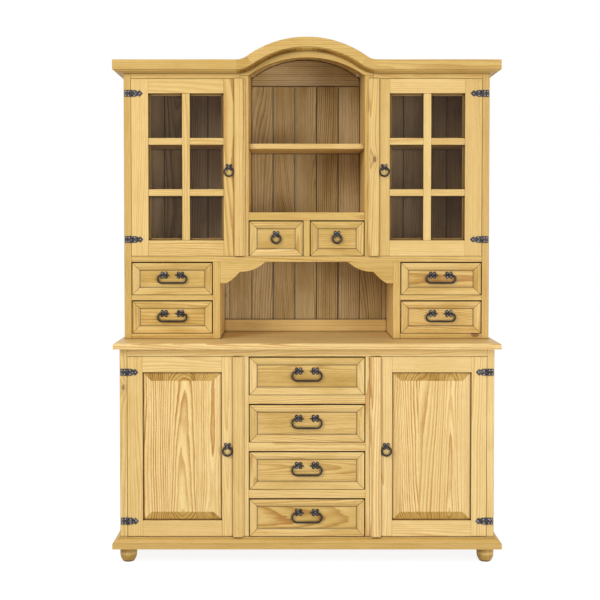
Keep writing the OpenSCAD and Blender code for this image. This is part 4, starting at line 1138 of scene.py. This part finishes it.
def forge(node, name, wanted):
    """A copy of a node's iron with filed edges, from the solids that are wanted."""
    points, faces, rubs_and_glints = [], [], []
    for solid in solids(node):
        if not wanted(solid):
            continue
        filed = ease(solid, 0.0006)
        solid.verts.index_update()
        first = len(points)
        points += [tuple(v.co) for v in solid.verts]
        for face in solid.faces:
            faces.append([first + v.index for v in face.verts])
            # Filed edges are paler steel: partly rubbed, partly a painted highlight.
            rubs_and_glints.append(0.75 if face in filed else 0.36)
    return new_piece(name, points, faces, [("rub", "FACE", rubs_and_glints)], 40, black_iron)


def arrows_of(node):
    """A door's two arrow leaves: their length from the pin, and the heights of their middles."""
    boxes = [box_of(solid) for solid in solids(node) if by_the_pin(solid)]
    length = PIN_X - min(abs(corner.x) for corners in boxes for corner in corners)
    return round(length, 4), [round((low.z + high.z) / 2, 4) for low, high in boxes]


rivet = Recipe("rivet heads", Radius="Float", Height="Float")
ball = rivet.add("GeometryNodeMeshUVSphere", {}, {"Segments": 10, "Rings": 6, "Radius": 1.0})
head_size = rivet.vector(rivet.given("Radius"), rivet.given("Height"), rivet.given("Radius"))
# Rivet heads are painted pale steel: partly rubbed, partly a painted highlight.
head = rivet.mark(ball, "rub", 1.1)
rivet.end(rivet.repeat(rivet.given("Geometry"), head, Scale=head_size), black_iron)
print("arrows:", arrows_of("cupboard_iron_left"), arrows_of("glazed_iron_left"))

# %% Hinges
def rivets(name, body, places):
    """Round heads at the given places, riding on a body."""
    heads = rivet.use(name, dots(name, places), Radius=0.0029, Height=0.0024)
    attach(heads, body)


def by_hinge(side, y, heights, reach):
    """Places on one side's hinges, from their distances along the leaf and over its middle."""
    return [(side * (PIN_X + along), y, z + up) for z in heights for along, up in reach]


finish_iron(forge("fixed_hinge_leaves", "fixed_hinges_iron", always), "fixed_hinge_leaves")
on_stiles = []
for kind, stiles in (("cupboard", "base_face_frame"), ("glazed", "hutch_face_frame")):
    face_y = round(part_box(stiles)[0].y, 4)
    for side, word in ((-1, "left"), (1, "right")):
        node = f"{kind}_iron_{word}"
        body = nodes[node]["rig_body"]
        finish_iron(forge(node, f"{node}_leaves", by_the_pin), node)
        plate = plates_at(node, f"{kind}_ring_{word}", ring_petal, 0.0)
        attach(plate, body)
        arrow, heights = arrows_of(node)
        arrow_rivets = [(-0.28 * arrow, -RIVET_ROW), (-0.28 * arrow, RIVET_ROW), (-0.76 * arrow, 0.0)]
        rivets(f"{node}_rivets", body, by_hinge(side, face_y - ARROW_HEAD_OUT, heights, arrow_rivets))
        on_stiles += by_hinge(side, face_y - FIXED_HEAD_OUT, heights, FIXED_RIVETS)
rivets("fixed_hinge_rivets", "carcass", on_stiles)
for thing in (eye, bail_petal, ring_petal):
    bpy.data.objects.remove(thing)
print(len(on_stiles), "rivets on the stiles")

# %% [markdown]
# ## Old window glass
# The panes show a dark cabinet behind them, with no lamp mirrored in them. Clear glass in a
# path tracer either lights the cabinet or fills it with noise, and an exported model keeps
# neither. A smooth surface that is partly see-through, with a faint brown in it, gives the
# same picture.

# %% Glass
clear, glass_sheet, glass_shader = new_material("window glass")
brown = linear(72, 66, 64)
feed(glass_sheet, glass_shader, Base_Color=brown, Roughness=0.05, Alpha=0.13, Specular_IOR_Level=0.2)
for side in ("left", "right"):
    pane = nodes[f"glass_{side}"]
    pane.data.materials.clear()
    pane.data.materials.append(clear)
print("glass in two doors")
